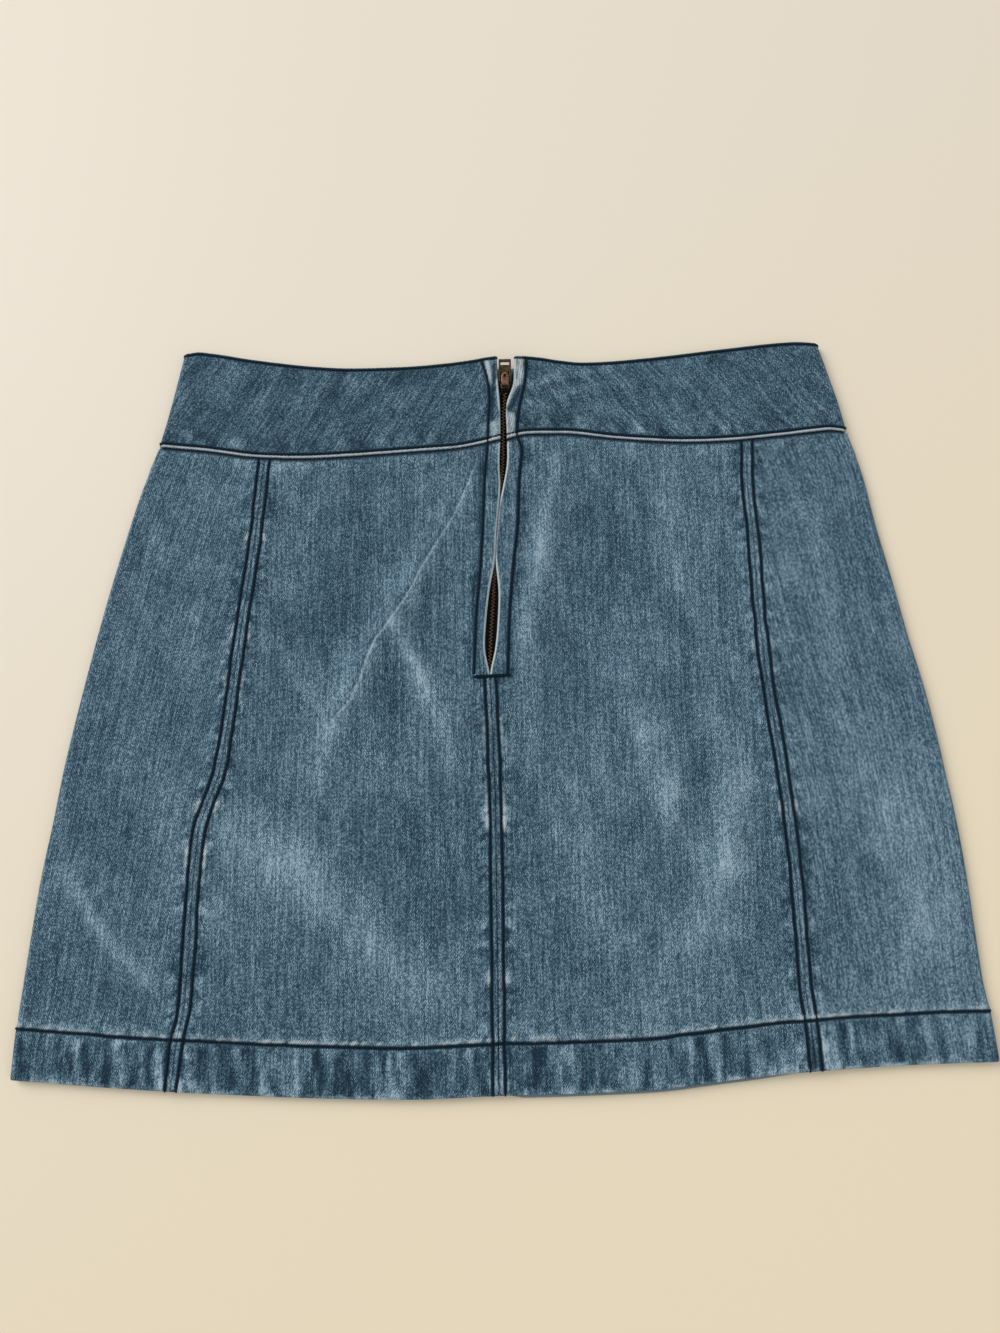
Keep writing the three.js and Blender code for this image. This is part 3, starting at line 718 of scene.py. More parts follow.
@dataclass(frozen=True)
class Hem:
    """The turned hem: one row of stitches, and the twisted ripples below it."""

    row: float = 24.6
    ripple: float = 0.50
    welt: float = 0.38
    groove: float = 0.40

    def add(self, wear: Wear, up: Array, x: Array, seed: int) -> None:
        """Adds the hem to a surface.

        Ripples are noise along the hem, leaning with the height; above the stitches is a welt, and the
        edge is worn white in spots.

        Args:
            wear: the surface, changed in place.
            up: distance above the hem edge.
            x: length along the hem.
            seed: seed of the ripples.
        """
        lean = x + 0.12 * up
        on_row = up - stray(x, seed) - self.row
        wave = Noise(seed).at(lean / 4.6, up / 40.0) + 0.7 * Noise(seed + 1).at(lean / 2.3, up / 16.0)
        grit = Noise(seed + 6).at(lean / 1.3, up / 9.0)
        comb = np.sin(2 * math.pi * (lean / 9.6 + 0.5 * Noise(seed + 7).at(x / 23.0, 0.2)))
        inside = ease(0.5, 3.0, up) * (1 - ease(22.0, 24.0, up))
        spot = np.clip(Noise(seed + 2).at((x + 0.6 * up) / 3.3, up / 9.0) * 1.6 + 0.3, 0, 1)
        under = bell(up, self.row - 3.0, 2.4)
        above = bell(up, self.row + 2.6, 1.6)
        wear.relief += (
            self.ripple * wave * inside
            - self.groove * bell(on_row, 0, 0.75)
            + self.welt * bell(on_row, 2.2, 1.5)
            + 0.16 * Noise(seed + 3).at(x / 3.0, up / 6.0) * bell(up, self.row + 5, 4)
        )
        wear.fade += (
            (1.35 * wave + 0.7 * comb + 1.0 * grit - 0.42) * inside
            + 0.9 * grit * (under + above)
            + (0.55 + 1.0 * Noise(seed + 4).at(x / 2.6, 0.3)) * above
            + (1.0 * spot + 0.5 * grit) * (1 - ease(2.0, 6.5, up))
        )
        wear.pale += 0.50 * spot * (0.8 + 0.5 * grit) * (1 - ease(0.5, 2.6, up))
        wear.pale += 0.72 * (0.60 + 0.9 * Noise(seed + 5).at(x / 2.1, 0.7)) * bell(on_row, 1.9, 0.85)
        wear.rows[..., 2] = on_row


@dataclass(frozen=True)
class Skin:
    """The finer relief and wear of the skirt's two layers, over the lay of the cloth."""

    lay: Lay = Lay()
    seam: PressedSeam = PressedSeam()
    centre_seam: PressedSeam = PressedSeam(row=2.9, reach=(5.5, 8.0))
    front_seam: PressedSeam = PressedSeam()
    hem: Hem = Hem()
    ditch: float = 0.62

    def hem_up(self, up: Array, x: Array) -> Array:
        """Distance above the hem edge on the upper layer."""
        return up / self.lay.length * (self.lay.waist_y(x * 0.78) - self.lay.hem_y(x))

    def upper(self, up: Array, x: Array, y: Array) -> Wear:
        """Relief and wear of the upper layer.

        Args:
            up: height up the panel.
            x: x of each point.
            y: y of each point.

        Returns:
            The sum of its creases, seams, hem, zip edges and faded patches, with painted highlights and shade on its
            creases, folds and waist.
        """
        lay, wear = self.lay, Wear.plain(np.broadcast(up, x, y).shape)
        creases = lines_sum(FINE_CREASES, x, y)
        ridges = lines_sum(MAIN_RIDGES, x, y, largest=True)
        wave = Noise(11).at(x / 34.0, y / 46.0)
        ripple = Noise(12).at((x + 0.25 * y) / 11.0, y / 21.0)
        fine = Noise(13).at(x / 4.2, y / 6.5)
        wear.relief += creases + 0.30 * wave + 0.13 * ripple + 0.045 * fine
        # Ridge crests and creases are paler and troughs darker, partly from fading and partly as painted highlight
        # and shade; the noises are random tone.
        wear.fade += 0.09 * (ridges - 0.5) + 0.24 * creases + 0.22 * wave + 0.28 * ripple + 0.22 * fine
        wear.fade += lines_sum(FADE_AND_PAINTED_LIGHT, x, y)
        # The sharp crease is painted as light and shade: its distance and strength go to the crease attribute.
        path, strength = Track.of(SHARP_CREASE_LIGHTING, 1), Track.of(SHARP_CREASE_LIGHTING, 2)
        lean = (path.at(y + 1) - path.at(y - 1)) / 2
        wear.crease = np.stack([(x - path.at(y)) / np.sqrt(1 + lean * lean), strength.at(y), 0 * x], -1)
        for side in Side:
            slope = (lay.seam(side, up + 1.0) - lay.seam(side, up - 1.0)) / 2
            away = np.abs(x - lay.seam(side, up)) / np.sqrt(1 + slope * slope)
            self.seam.add(wear, away, up, 20 + 4 * side.value)
        left = x < (lay.centre(Side.LEFT, y) + lay.centre(Side.RIGHT, y)) / 2
        away = np.where(left, lay.centre(Side.LEFT, y) - x, x - lay.centre(Side.RIGHT, y))
        away = np.maximum(away, 0.0)
        self.centre_seam.add(wear, away, y, 31, np.where(y < lay.tack_y, 1.0, 0.0))
        self.zip_edge(wear, left, x, y, away)
        self.hem.add(wear, self.hem_up(up, x), x, 41)
        below = lay.length - up
        tuck = Noise(51).at(x / 3.6, below / 6.0) + 0.6 * Noise(52).at(x / 1.8, below / 4.0)
        waist = ease(1.7, 2.7, below) * (1 - ease(4.0, 9.5, below))
        wear.relief += 0.18 * tuck * waist - 0.25 * bell(below, 0, 0.9)
        wear.fade += (0.35 + 0.85 * tuck) * waist
        # A dark line under the waistband's lower edge: painted shadow of that edge, with the dark cloth that kept
        # its indigo there.
        wear.pale -= 1.0 * (1 - ease(1.5, 2.3, below))
        wear.rows[..., 2] = np.where(below < 20, below - self.ditch, wear.rows[..., 2])
        # A small dent, lower and darker: its darkening is painted shade.
        dent = bell(np.hypot(x - 147.7, y - 109.6), 0, 1.9)
        wear.relief -= 0.5 * dent
        wear.fade -= 0.9 * dent
        inset = np.minimum(x - lay.fold(Side.LEFT, up), lay.fold(Side.RIGHT, up) - x)
        wear.relief *= ease(1.5, 8.0, inset)
        # Paler along the side folds: a painted highlight on their rounded edges.
        wear.fade += 0.28 * (1 - ease(1.0, 4.5, inset))
        return wear

    def zip_edge(self, wear: Wear, left: Array, x: Array, y: Array, away: Array) -> None:
        """Adds the turned edge beside the zip: raised to its row of stitches, and white along the lip.

        Args:
            wear: the surface, changed in place.
            left: true on the left of the zip.
            x: x of each point.
            y: y of each point.
            away: distance from the lip.
        """
        lay = self.lay
        here = ease(lay.tack_y - 0.4, lay.tack_y + 0.4, y)
        row = np.where(left, lay.zip_row(Side.LEFT, y) - x, x - lay.zip_row(Side.RIGHT, y))
        tuck = Noise(61).at(y / 3.8 + 9.0 * left, row / 6.0)
        nip = Noise(64).at(y / 1.9 + 5.0 * left, row / 3.2)
        outside = ease(0.4, 1.4, row) * (1 - ease(4.0, 9.0, row))
        facing = (1 - ease(-0.8, -0.3, row)) * ease(0.6, 1.6, away)
        wear.relief += here * (
            0.34 * (1 - ease(-0.2, 1.2, row))
            - 0.30 * bell(row, 0, 0.65)
            + 0.22 * tuck * outside
            + 0.16 * Noise(62).at(y / 7.0, row / 3.0) * facing
            + 0.35 * bell(away, 0.9, 0.8)
        )
        wear.fade += here * (
            (0.7 * tuck + 0.5 * nip) * outside
            + (0.18 + 0.6 * Noise(63).at(y / 7.0, row / 3.0) + 0.3 * nip) * facing
            - 0.75 * bell(row, 2.2, 1.8)
        )
        shut = ease(72, 80, y) * (1 - ease(104, 114, y))
        wear.pale += here * (0.95 - np.where(left, 0.15, 0.6) * shut) * (1 - ease(0.55, 1.3, away))
        wear.rows[..., 1] = np.where(y > lay.tack_y, row, 50.0)

    def lower(self, up: Array, x: Array, y: Array) -> Wear:
        """Relief and wear of the lower layer: its princess seams, hem and waist."""
        lay, wear = self.lay, Wear.plain(np.broadcast(up, x, y).shape)
        wear.relief += 0.12 * Noise(71).at(x / 30.0, y / 40.0) + 0.05 * Noise(72).at(x / 6.0, y / 9.0)
        wear.fade += 0.14 * Noise(73).at(x / 34.0, y / 60.0) + 0.16 * bell(np.abs(x), 70, 42)
        at = lay.front_seam[0] + (lay.front_seam[1] - lay.front_seam[0]) * up / lay.length
        self.front_seam.add(wear, np.abs(np.abs(x) - at), up, 81)
        self.hem.add(wear, up / lay.length * (lay.lower_waist_y(x * 0.78) - lay.hem_y(x)), x, 91)
        below = lay.length - up
        tuck = Noise(95).at(x / 4.4, below / 6.0)
        waist = ease(0.6, 1.6, below) * (1 - ease(3.5, 9.0, below))
        wear.relief += 0.12 * tuck * waist
        wear.fade += (0.2 + 0.4 * tuck) * waist
        return wear


@dataclass
class Wall:
    """A closed wall of cloth: outer and inner points on one grid, and what its finish reads there."""

    outer: Array
    inner: Array
    cloth: Array
    wear: Wear
    grids: dict[str, Array] = field(default_factory=dict)
    # Painted shade on the inner face, stored with pale.
    shade: Array | float = 0.0

    def mesh(self, name: str) -> bpy.types.Object:
        """The wall as an object: both faces and the four edges, turned outwards."""
        rows, cols = self.outer.shape[:2]
        points = np.concatenate([self.outer.reshape(-1, 3), self.inner.reshape(-1, 3)])
        index = np.arange(rows * cols).reshape(rows, cols)
        back = index + rows * cols
        a, b, c, d = index[:-1, :-1], index[:-1, 1:], index[1:, 1:], index[1:, :-1]
        e, f, g, h = back[:-1, :-1], back[:-1, 1:], back[1:, 1:], back[1:, :-1]
        quads = [np.stack([a, b, c, d], -1), np.stack([e, h, g, f], -1)]
        quads.append(np.stack([index[:-1, 0], index[1:, 0], back[1:, 0], back[:-1, 0]], -1))
        quads.append(np.stack([index[:-1, -1], back[:-1, -1], back[1:, -1], index[1:, -1]], -1))
        quads.append(np.stack([index[0, :-1], back[0, :-1], back[0, 1:], index[0, 1:]], -1))
        quads.append(np.stack([index[-1, :-1], index[-1, 1:], back[-1, 1:], back[-1, :-1]], -1))
        faces = np.concatenate([q.reshape(-1, 4) for q in quads])
        obj = mesh_object(name, points, outwards(points, faces))
        twice = lambda grid: np.concatenate([grid.reshape(rows * cols, -1)] * 2)
        inside = np.concatenate([np.zeros(rows * cols), np.ones(rows * cols)])
        put_vector(obj, "cloth", np.hstack([twice(self.cloth), np.zeros((len(points), 1))]))
        put_vector(obj, "rows", twice(self.wear.rows) + 60.0 * inside[:, None])
        put_float(obj, "fade", twice(self.wear.fade)[:, 0] * (1 - inside))
        inner_painted_shade = np.broadcast_to(self.shade, (rows, cols)).ravel()
        put_float(obj, "pale", np.concatenate([np.clip(self.wear.pale, -1, 1).ravel(), inner_painted_shade]))
        put_float(obj, "inside", inside)
        if self.wear.crease is not None:
            put_vector(obj, "crease", twice(self.wear.crease) * (1 - inside[:, None]))
        return obj

    def normals(self) -> Array:
        """Unit normals of the outer grid: the cross product of its two directions, turned away from the inner."""
        across, up = np.gradient(self.outer, axis=1), np.gradient(self.outer, axis=0)
        normal = np.cross(across, up)
        away = self.outer - self.inner
        normal *= np.sign((normal * away).sum(-1, keepdims=True) + 1e-9)
        return normal / np.maximum(np.linalg.norm(normal, axis=-1, keepdims=True), 1e-9)

    def trace(self, name: str, level: float, axis: int, keep: Array | None = None) -> tuple[Array, Array]:
        """The line on the outer grid where one of its named grids crosses a level.

        Args:
            name: the named grid.
            level: the value to find.
            axis: 0 looks along the columns, and 1 along the rows.
            keep: false where the line isn't wanted.

        Returns:
            Points and unit normals, one for each row or column that the line crosses.
        """
        grid = np.where(keep, self.grids[name], np.nan) if keep is not None else self.grids[name]
        value = grid if axis == 0 else grid.T
        points = self.outer if axis == 0 else self.outer.swapaxes(0, 1)
        normals = self.normals() if axis == 0 else self.normals().swapaxes(0, 1)
        before, after = value[:-1] - level, value[1:] - level
        cross = (before * after <= 0) & np.isfinite(before) & np.isfinite(after)
        j = np.nonzero(cross.any(axis=0))[0]
        i = cross[:, j].argmax(axis=0)
        gap = value[i + 1, j] - value[i, j]
        t = ((level - value[i, j]) / np.where(np.abs(gap) < 1e-9, 1.0, gap))[:, None]
        found = points[i, j] + t * (points[i + 1, j] - points[i, j])
        return found, normals[i, j]


def outwards(points: Array, faces: Array) -> Array:
    """The faces of a closed mesh, turned round if the volume that they enclose is negative."""
    a, b, c, d = (points[faces[:, k]] for k in range(4))
    volume = (np.cross(a, b) * c).sum() + (np.cross(a, c) * d).sum()
    return faces if volume > 0 else faces[:, ::-1]


def mesh_object(name: str, points: Array, faces: Array, scale: float = MM) -> bpy.types.Object:
    """An object at the origin, with a smooth-shaded mesh of quads, where a repeated corner makes a triangle.

    Args:
        name: name of the piece.
        points: corner points.
        faces: four corners a face.
        scale: metres for one unit of the points.

    Returns:
        The object, linked to the scene.
    """
    mesh = bpy.data.meshes.new(name)
    mesh.vertices.add(len(points))
    mesh.vertices.foreach_set("co", (points * scale).astype(np.float32).ravel())
    three = faces[:, 2] == faces[:, 3]
    totals = np.where(three, 3, 4).astype(np.int32)
    corners = faces.ravel()[np.column_stack([np.ones((len(faces), 3), bool), ~three]).ravel()]
    mesh.loops.add(len(corners))
    mesh.loops.foreach_set("vertex_index", corners.astype(np.int32))
    mesh.polygons.add(len(faces))
    mesh.polygons.foreach_set("loop_start", np.concatenate([[0], np.cumsum(totals)[:-1]]).astype(np.int32))
    mesh.polygons.foreach_set("use_smooth", np.ones(len(faces), bool))
    mesh.update(calc_edges=True)
    obj = bpy.data.objects.new(name, mesh)
    bpy.context.scene.collection.objects.link(obj)
    return obj


def put_float(obj: bpy.types.Object, name: str, values: Array) -> None:
    """Stores one number a point on the mesh."""
    obj.data.attributes.new(name, "FLOAT", "POINT").data.foreach_set("value", values.astype(np.float32))


def put_vector(obj: bpy.types.Object, name: str, values: Array) -> None:
    """Stores three numbers a point on the mesh."""
    layer = obj.data.attributes.new(name, "FLOAT_VECTOR", "POINT")
    layer.data.foreach_set("vector", values.astype(np.float32).ravel())


def tubes(rings: Array) -> tuple[Array, Array]:
    """Closed tubes from rings of points.

    Args:
        rings: points in four axes: tube, ring along it, place round it, and x y z.

    Returns:
        Points and faces, with each end closed by triangles round its middle.
    """
    count, along, around = rings.shape[:3]
    ends = rings[:, [0, -1]].mean(axis=2)
    points = np.concatenate([rings.reshape(count, -1, 3), ends], axis=1)
    ring = np.arange(along * around).reshape(along, around)
    near, far = ring[:-1], ring[1:]
    walls = np.stack([near, np.roll(near, -1, 1), np.roll(far, -1, 1), far], -1).reshape(-1, 4)
    first, last = along * around, along * around + 1
    start = np.stack([np.roll(ring[0], -1), ring[0], np.full(around, first), np.full(around, first)], -1)
    end = np.stack([ring[-1], np.roll(ring[-1], -1), np.full(around, last), np.full(around, last)], -1)
    one = np.concatenate([walls, start, end])
    step = (np.arange(count) * points.shape[1])[:, None, None]
    faces = (one[None] + step).reshape(-1, 4)
    flat = points.reshape(-1, 3)
    a, b, c, d = (flat[one[:, k]] for k in range(4))
    volume = (np.cross(a, b) * c).sum() + (np.cross(a, c) * d).sum()
    return flat, faces if volume > 0 else flipped(faces)


def flipped(faces: Array) -> Array:
    """Faces turned round, with a repeated last corner kept last."""
    three = faces[:, 2] == faces[:, 3]
    quads = faces[:, ::-1].copy()
    quads[three] = faces[three][:, [1, 0, 2, 3]]
    return quads


def unit(vectors: Array) -> Array:
    """Vectors of length 1 in the same directions."""
    return vectors / np.maximum(np.linalg.norm(vectors, axis=-1, keepdims=True), 1e-9)


class Graph:
    """A material's nodes, made with short calls. A socket or a plain value may feed any input."""

    def __init__(self, name: str) -> None:
        """An empty material of that name with its surface shader."""
        self.material = bpy.data.materials.new(name)
        self.material.use_nodes = True
        self.tree = self.material.node_tree
        self.tree.nodes.clear()
        self.shader = self.tree.nodes.new("ShaderNodeBsdfPrincipled")
        output = self.tree.nodes.new("ShaderNodeOutputMaterial")
        self.tree.links.new(self.shader.outputs["BSDF"], output.inputs["Surface"])

    def feed(self, socket: bpy.types.NodeSocket, value: object) -> None:
        """Links a socket, or sets a plain value."""
        if isinstance(value, bpy.types.NodeSocket):
            self.tree.links.new(value, socket)
        else:
            socket.default_value = value

    def surface(self, **values: object) -> None:
        """Feeds the shader's inputs, by their names with underscores for spaces."""
        for name, value in values.items():
            self.feed(self.shader.inputs[name.replace("_", " ")], value)

    def math(self, operation: str, a: object, b: object = 0.0) -> bpy.types.NodeSocket:
        """One sum of two numbers."""
        node = self.tree.nodes.new("ShaderNodeMath")
        node.operation = operation
        self.feed(node.inputs[0], a)
        self.feed(node.inputs[1], b)
        return node.outputs[0]

    def add(self, *terms: object) -> bpy.types.NodeSocket:
        """The sum of several numbers."""
        total = terms[0]
        for term in terms[1:]:
            total = self.math("ADD", total, term)
        return total

    def times(self, a: object, b: object) -> bpy.types.NodeSocket:
        """The product of two numbers."""
        return self.math("MULTIPLY", a, b)

    def step(self, value: object, low: float, high: float, start: object, end: object) -> bpy.types.NodeSocket:
        """An even S from start at low to end at high."""
        node = self.tree.nodes.new("ShaderNodeMapRange")
        node.interpolation_type = "SMOOTHSTEP"
        for socket, item in zip(node.inputs, (value, low, high, start, end)):
            self.feed(socket, item)
        return node.outputs[0]

    def attribute(self, name: str, vector: bool = False) -> bpy.types.NodeSocket:
        """What the mesh stores under a name."""
        node = self.tree.nodes.new("ShaderNodeAttribute")
        node.attribute_name = name
        return node.outputs["Vector" if vector else "Fac"]

    def place(self) -> bpy.types.NodeSocket:
        """The object coordinates."""
        return self.tree.nodes.new("ShaderNodeTexCoord").outputs["Object"]

    def parts(self, vector: object) -> tuple[bpy.types.NodeSocket, ...]:
        """The three numbers of a vector."""
        node = self.tree.nodes.new("ShaderNodeSeparateXYZ")
        self.feed(node.inputs[0], vector)
        return tuple(node.outputs)

    def joined(self, x: object, y: object, z: object) -> bpy.types.NodeSocket:
        """A vector of three numbers."""
        node = self.tree.nodes.new("ShaderNodeCombineXYZ")
        for socket, value in zip(node.inputs, (x, y, z)):
            self.feed(socket, value)
        return node.outputs[0]

    def stretched(self, vector: object, scale: tuple[float, float, float]) -> bpy.types.NodeSocket:
        """A vector times a scale on each axis."""
        node = self.tree.nodes.new("ShaderNodeVectorMath")
        node.operation = "MULTIPLY"
        self.feed(node.inputs[0], vector)
        self.feed(node.inputs[1], scale)
        return node.outputs[0]

    def noise(self, vector: object, scale: float = 1.0, detail: float = 2.0) -> bpy.types.NodeSocket:
        """Noise centred on 0, from about -1 to 1."""
        node = self.tree.nodes.new("ShaderNodeTexNoise")
        self.feed(node.inputs["Vector"], vector)
        node.inputs["Scale"].default_value = scale
        node.inputs["Detail"].default_value = detail
        node.inputs["Roughness"].default_value = 0.55
        return self.math("MULTIPLY", self.math("SUBTRACT", node.outputs[0], 0.5), 2.6)

    def white(self, vector: object) -> bpy.types.NodeSocket:
        """A random number from -1 to 1 for each value of the vector."""
        node = self.tree.nodes.new("ShaderNodeTexWhiteNoise")
        node.noise_dimensions = "3D"
        self.feed(node.inputs["Vector"], vector)
        return self.math("MULTIPLY", self.math("SUBTRACT", node.outputs[0], 0.5), 2.0)

    def ramp(self, value: object, stops: Sequence[tuple[float, tuple[float, float, float]]]) -> bpy.types.NodeSocket:
        """A colour read from stops."""
        node = self.tree.nodes.new("ShaderNodeValToRGB")
        self.feed(node.inputs[0], value)
        band = node.color_ramp
        band.interpolation = "LINEAR"
        while len(band.elements) < len(stops):
            band.elements.new(1.0)
        for element, (at, colour) in zip(band.elements, stops):
            element.position = at
            element.color = (*colour, 1.0)
        return node.outputs[0]

    def mix(self, share: object, a: object, b: object) -> bpy.types.NodeSocket:
        """Colour a where the share is 0, and b where it is 1."""
        node = self.tree.nodes.new("ShaderNodeMix")
        node.data_type = "RGBA"
        self.feed(node.inputs[0], share)
        for socket, value in ((node.inputs[6], a), (node.inputs[7], b)):
            self.feed(socket, (*value, 1.0) if isinstance(value, tuple) else value)
        return node.outputs[2]

    def bump(self, height: object, strength: float, distance: float) -> None:
        """Feeds the shader's normal from a height."""
        node = self.tree.nodes.new("ShaderNodeBump")
        node.inputs["Strength"].default_value = strength
        node.inputs["Distance"].default_value = distance
        self.feed(node.inputs["Height"], height)
        self.feed(self.shader.inputs["Normal"], node.outputs[0])


@dataclass(frozen=True)
class Denim:
    """Washed blue denim: twill with slubs, dark in the seams' grooves from kept indigo and painted shade, white on
    worn edges, and with painted highlights and shade on its creases.
    """

    warp: float = 0.29
    weft: float = 0.43
    yarn: float = 0.52
    floating: float = 0.86
    streak: float = 17.0
    indigo: tuple[float, float, float] = (0.005, 0.020, 0.036)
    deep: tuple[float, float, float] = (0.021, 0.057, 0.086)
    body: tuple[float, float, float] = (0.069, 0.130, 0.174)
    light: tuple[float, float, float] = (0.180, 0.280, 0.345)
    palest: tuple[float, float, float] = (0.36, 0.46, 0.52)
    white: tuple[float, float, float] = (0.50, 0.56, 0.57)
    inner: tuple[float, float, float] = (0.27, 0.33, 0.36)

    def material(self) -> bpy.types.Material:
        """The finish: fading with painted highlights and shade, slubs, specks and twill choose a colour; grooves,
        dark with kept indigo and painted shade, and worn edges go over it.
        """
        g = Graph("washed_denim")
        cloth = g.attribute("cloth", vector=True)
        u, v, _ = g.parts(cloth)
        wobble = g.times(g.noise(g.stretched(cloth, (0.5, 0.3, 1.0)), 1.0, 1.0), 1.3)
        turn = g.times(g.math("SUBTRACT", g.times(v, 1 / self.weft), g.times(u, 1 / self.warp)), math.pi / 2)
        twill = g.math("SINE", g.add(turn, wobble))
        slub = g.noise(g.stretched(cloth, (1.7, 0.16, 1.0)), 1.0, 2.0)
        band = g.noise(g.stretched(cloth, (0.42, 0.02, 1.0)), 1.0, 2.0)
        speck = g.noise(g.stretched(cloth, (1.5, 0.95, 1.0)), 1.0, 1.0)
        blotch = g.noise(g.stretched(cloth, (0.10, 0.07, 1.0)), 1.0, 3.0)
        # fade carries fading and painted highlights and shade; pale carries worn white, kept indigo and painted
        # shade.
        fade = g.attribute("fade")
        pale = g.attribute("pale")
        across = g.add(g.times(u, 1 / self.yarn), g.times(wobble, 0.12))
        column = g.math("FLOOR", across)
        along = g.add(g.times(v, 1 / self.floating), g.times(column, 0.37))
        dome = g.times(self.hump(g, across), self.hump(g, along))
        floats = g.times(g.white(g.joined(column, g.math("FLOOR", along), 1.0)), dome)
        part_at = g.math("FLOOR", g.add(g.times(v, 1 / self.streak), g.times(column, 0.61)))
        yarn = g.white(g.joined(column, part_at, 2.0))
        weave = g.add(g.times(twill, 0.10), g.times(slub, 0.13), g.times(speck, 0.06), g.times(floats, 0.42))
        slow = g.add(g.times(band, 0.12), g.times(blotch, 0.09), g.times(yarn, 0.12))
        level = g.add(0.40, g.times(dome, 0.09), g.times(fade, 0.19), weave, slow, self.painted_crease_light(g))
        colour = g.ramp(
            level,
            (
                (0.0, self.indigo),
                (0.25, self.deep),
                (0.5, self.body),
                (0.78, self.light),
                (1.0, self.palest),
            ),
        )
        reverse = g.mix(g.add(0.5, g.times(g.add(twill, speck), 0.25)), self.inner, self.body)
        colour = g.mix(g.attribute("inside"), colour, reverse)
        nearest = self.nearest_row(g)
        # Dark in the stitches' grooves: kept indigo and painted shade.
        groove = g.step(nearest, 0.7, 1.4, 0.98, 0.0)
        # Where pale is negative: dark cloth that kept its indigo, and painted shade under the band's edge, in the
        # band's end creases and on inner faces by the zip.
        dark_cloth_and_shade = g.step(pale, -0.9, -0.05, 0.95, 0.0)
        colour = g.mix(g.math("MAXIMUM", groove, dark_cloth_and_shade), colour, self.indigo)
        worn = g.add(pale, g.times(pale, g.times(g.add(twill, speck), 0.45)))
        colour = g.mix(g.step(worn, 0.05, 0.95, 0.0, 1.0), colour, self.white)
        g.surface(Base_Color=colour, Roughness=0.9)
        g.shader.inputs["Specular IOR Level"].default_value = 0.22
        g.shader.inputs["Sheen Weight"].default_value = 0.12
        g.shader.inputs["Sheen Roughness"].default_value = 0.5
        g.bump(g.add(g.times(twill, 0.5), g.times(slub, 0.5), g.times(speck, 0.3)), 0.5, 0.00014)
        return g.material

    def painted_crease_light(self, g: Graph) -> bpy.types.NodeSocket:
        """The sharp crease's painted light: a fine painted highlight line, painted light on its right, and painted
        shade on its left.
        """
        away, strength, _ = g.parts(g.attribute("crease", vector=True))
        line = g.step(g.math("ABSOLUTE", g.add(away, -0.4)), 0.3, 1.1, 0.25, 0.0)
        lit = g.times(g.step(away, -0.1, 0.3, 0.0, 0.12), g.step(away, 0.0, 8.0, 1.0, 0.0))
        shaded = g.times(g.step(away, -0.3, 0.1, -0.12, 0.0), g.step(away, -8.0, 0.0, 0.0, 1.0))
        return g.times(g.add(line, lit, shaded), strength)

    def hump(self, g: Graph, value: bpy.types.NodeSocket) -> bpy.types.NodeSocket:
        """A rounded hump over each whole step of a value: the size of the sine of pi times the value."""
        return g.math("SQRT", g.math("ABSOLUTE", g.math("SINE", g.times(value, math.pi))))

    def nearest_row(self, g: Graph) -> bpy.types.NodeSocket:
        """Distance to the nearest row of stitches: the smallest size of the three signed distances."""
        sizes = [g.math("ABSOLUTE", part) for part in g.parts(g.attribute("rows", vector=True))]
        return g.math("MINIMUM", g.math("MINIMUM", sizes[0], sizes[1]), sizes[2])


@dataclass(frozen=True)
class Thread:
    """Spun sewing thread, two plies twisted together."""

    name: str = "navy_thread"
    colour: tuple[float, float, float] = (0.002, 0.008, 0.014)
    ply: float = 0.00045

    def material(self) -> bpy.types.Material:
        """The finish: slanted plies over a slow change of shade."""
        g = Graph(self.name)
        x, y, _ = g.parts(g.place())
        turn = g.math("SINE", g.times(g.add(x, y), 2 * math.pi / self.ply))
        shade = g.add(0.5, g.times(turn, 0.3), g.times(g.noise(g.place(), 400.0, 1.0), 0.3))
        lighter = tuple(2.4 * part for part in self.colour)
        g.surface(Base_Color=g.mix(shade, self.colour, lighter), Roughness=0.7)
        g.shader.inputs["Specular IOR Level"].default_value = 0.08
        g.bump(turn, 0.4, 0.00005)
        return g.material


@dataclass(frozen=True)
class Tape:
    """Black woven zip tape."""

    colour: tuple[float, float, float] = (0.010, 0.010, 0.012)
    thread: float = 0.0007

    def material(self) -> bpy.types.Material:
        """The finish: a herringbone whose slant turns at the middle of each rib."""
        g = Graph("black_zip_tape")
        x, y, _ = g.parts(g.place())
        zigzag = g.math("PINGPONG", x, 0.0016)
        rib = g.math("SINE", g.times(g.add(y, zigzag), 2 * math.pi / self.thread))
        fuzz = g.noise(g.place(), 900.0, 2.0)
        lighter = tuple(3.2 * part for part in self.colour)
        shade = g.add(0.35, g.times(rib, 0.25), g.times(fuzz, 0.25))
        g.surface(Base_Color=g.mix(shade, self.colour, lighter), Roughness=0.85)
        g.shader.inputs["Sheen Weight"].default_value = 0.2
        g.bump(g.add(rib, fuzz), 0.5, 0.0001)
        return g.material


@dataclass(frozen=True)
class AgedMetal:
    """Antique metal: dark in its hollows, with brighter rubbed spots."""

    name: str
    dark: tuple[float, float, float]
    bright: tuple[float, float, float]
    roughness: float = 0.42
    scale: float = 700.0
    rubbed: bool = False

    def material(self) -> bpy.types.Material:
        """The finish: two sizes of noise mix the dark and the bright metal and vary its gloss."""
        g = Graph(self.name)
        cloud = g.noise(g.place(), self.scale, 3.0)
        grain = g.noise(g.place(), self.scale * 5, 2.0)
        share = g.step(g.add(cloud, g.times(grain, 0.4)), -0.7, 0.9, 0.0, 1.0)
        if self.rubbed:
            share = g.times(g.add(0.35, share), g.attribute("rubbed"))
        g.surface(
            Base_Color=g.mix(share, self.dark, self.bright),
            Metallic=0.85,
            Roughness=g.add(self.roughness, g.times(grain, 0.1)),
        )
        g.bump(grain, 0.25, 0.00004)
        return g.material


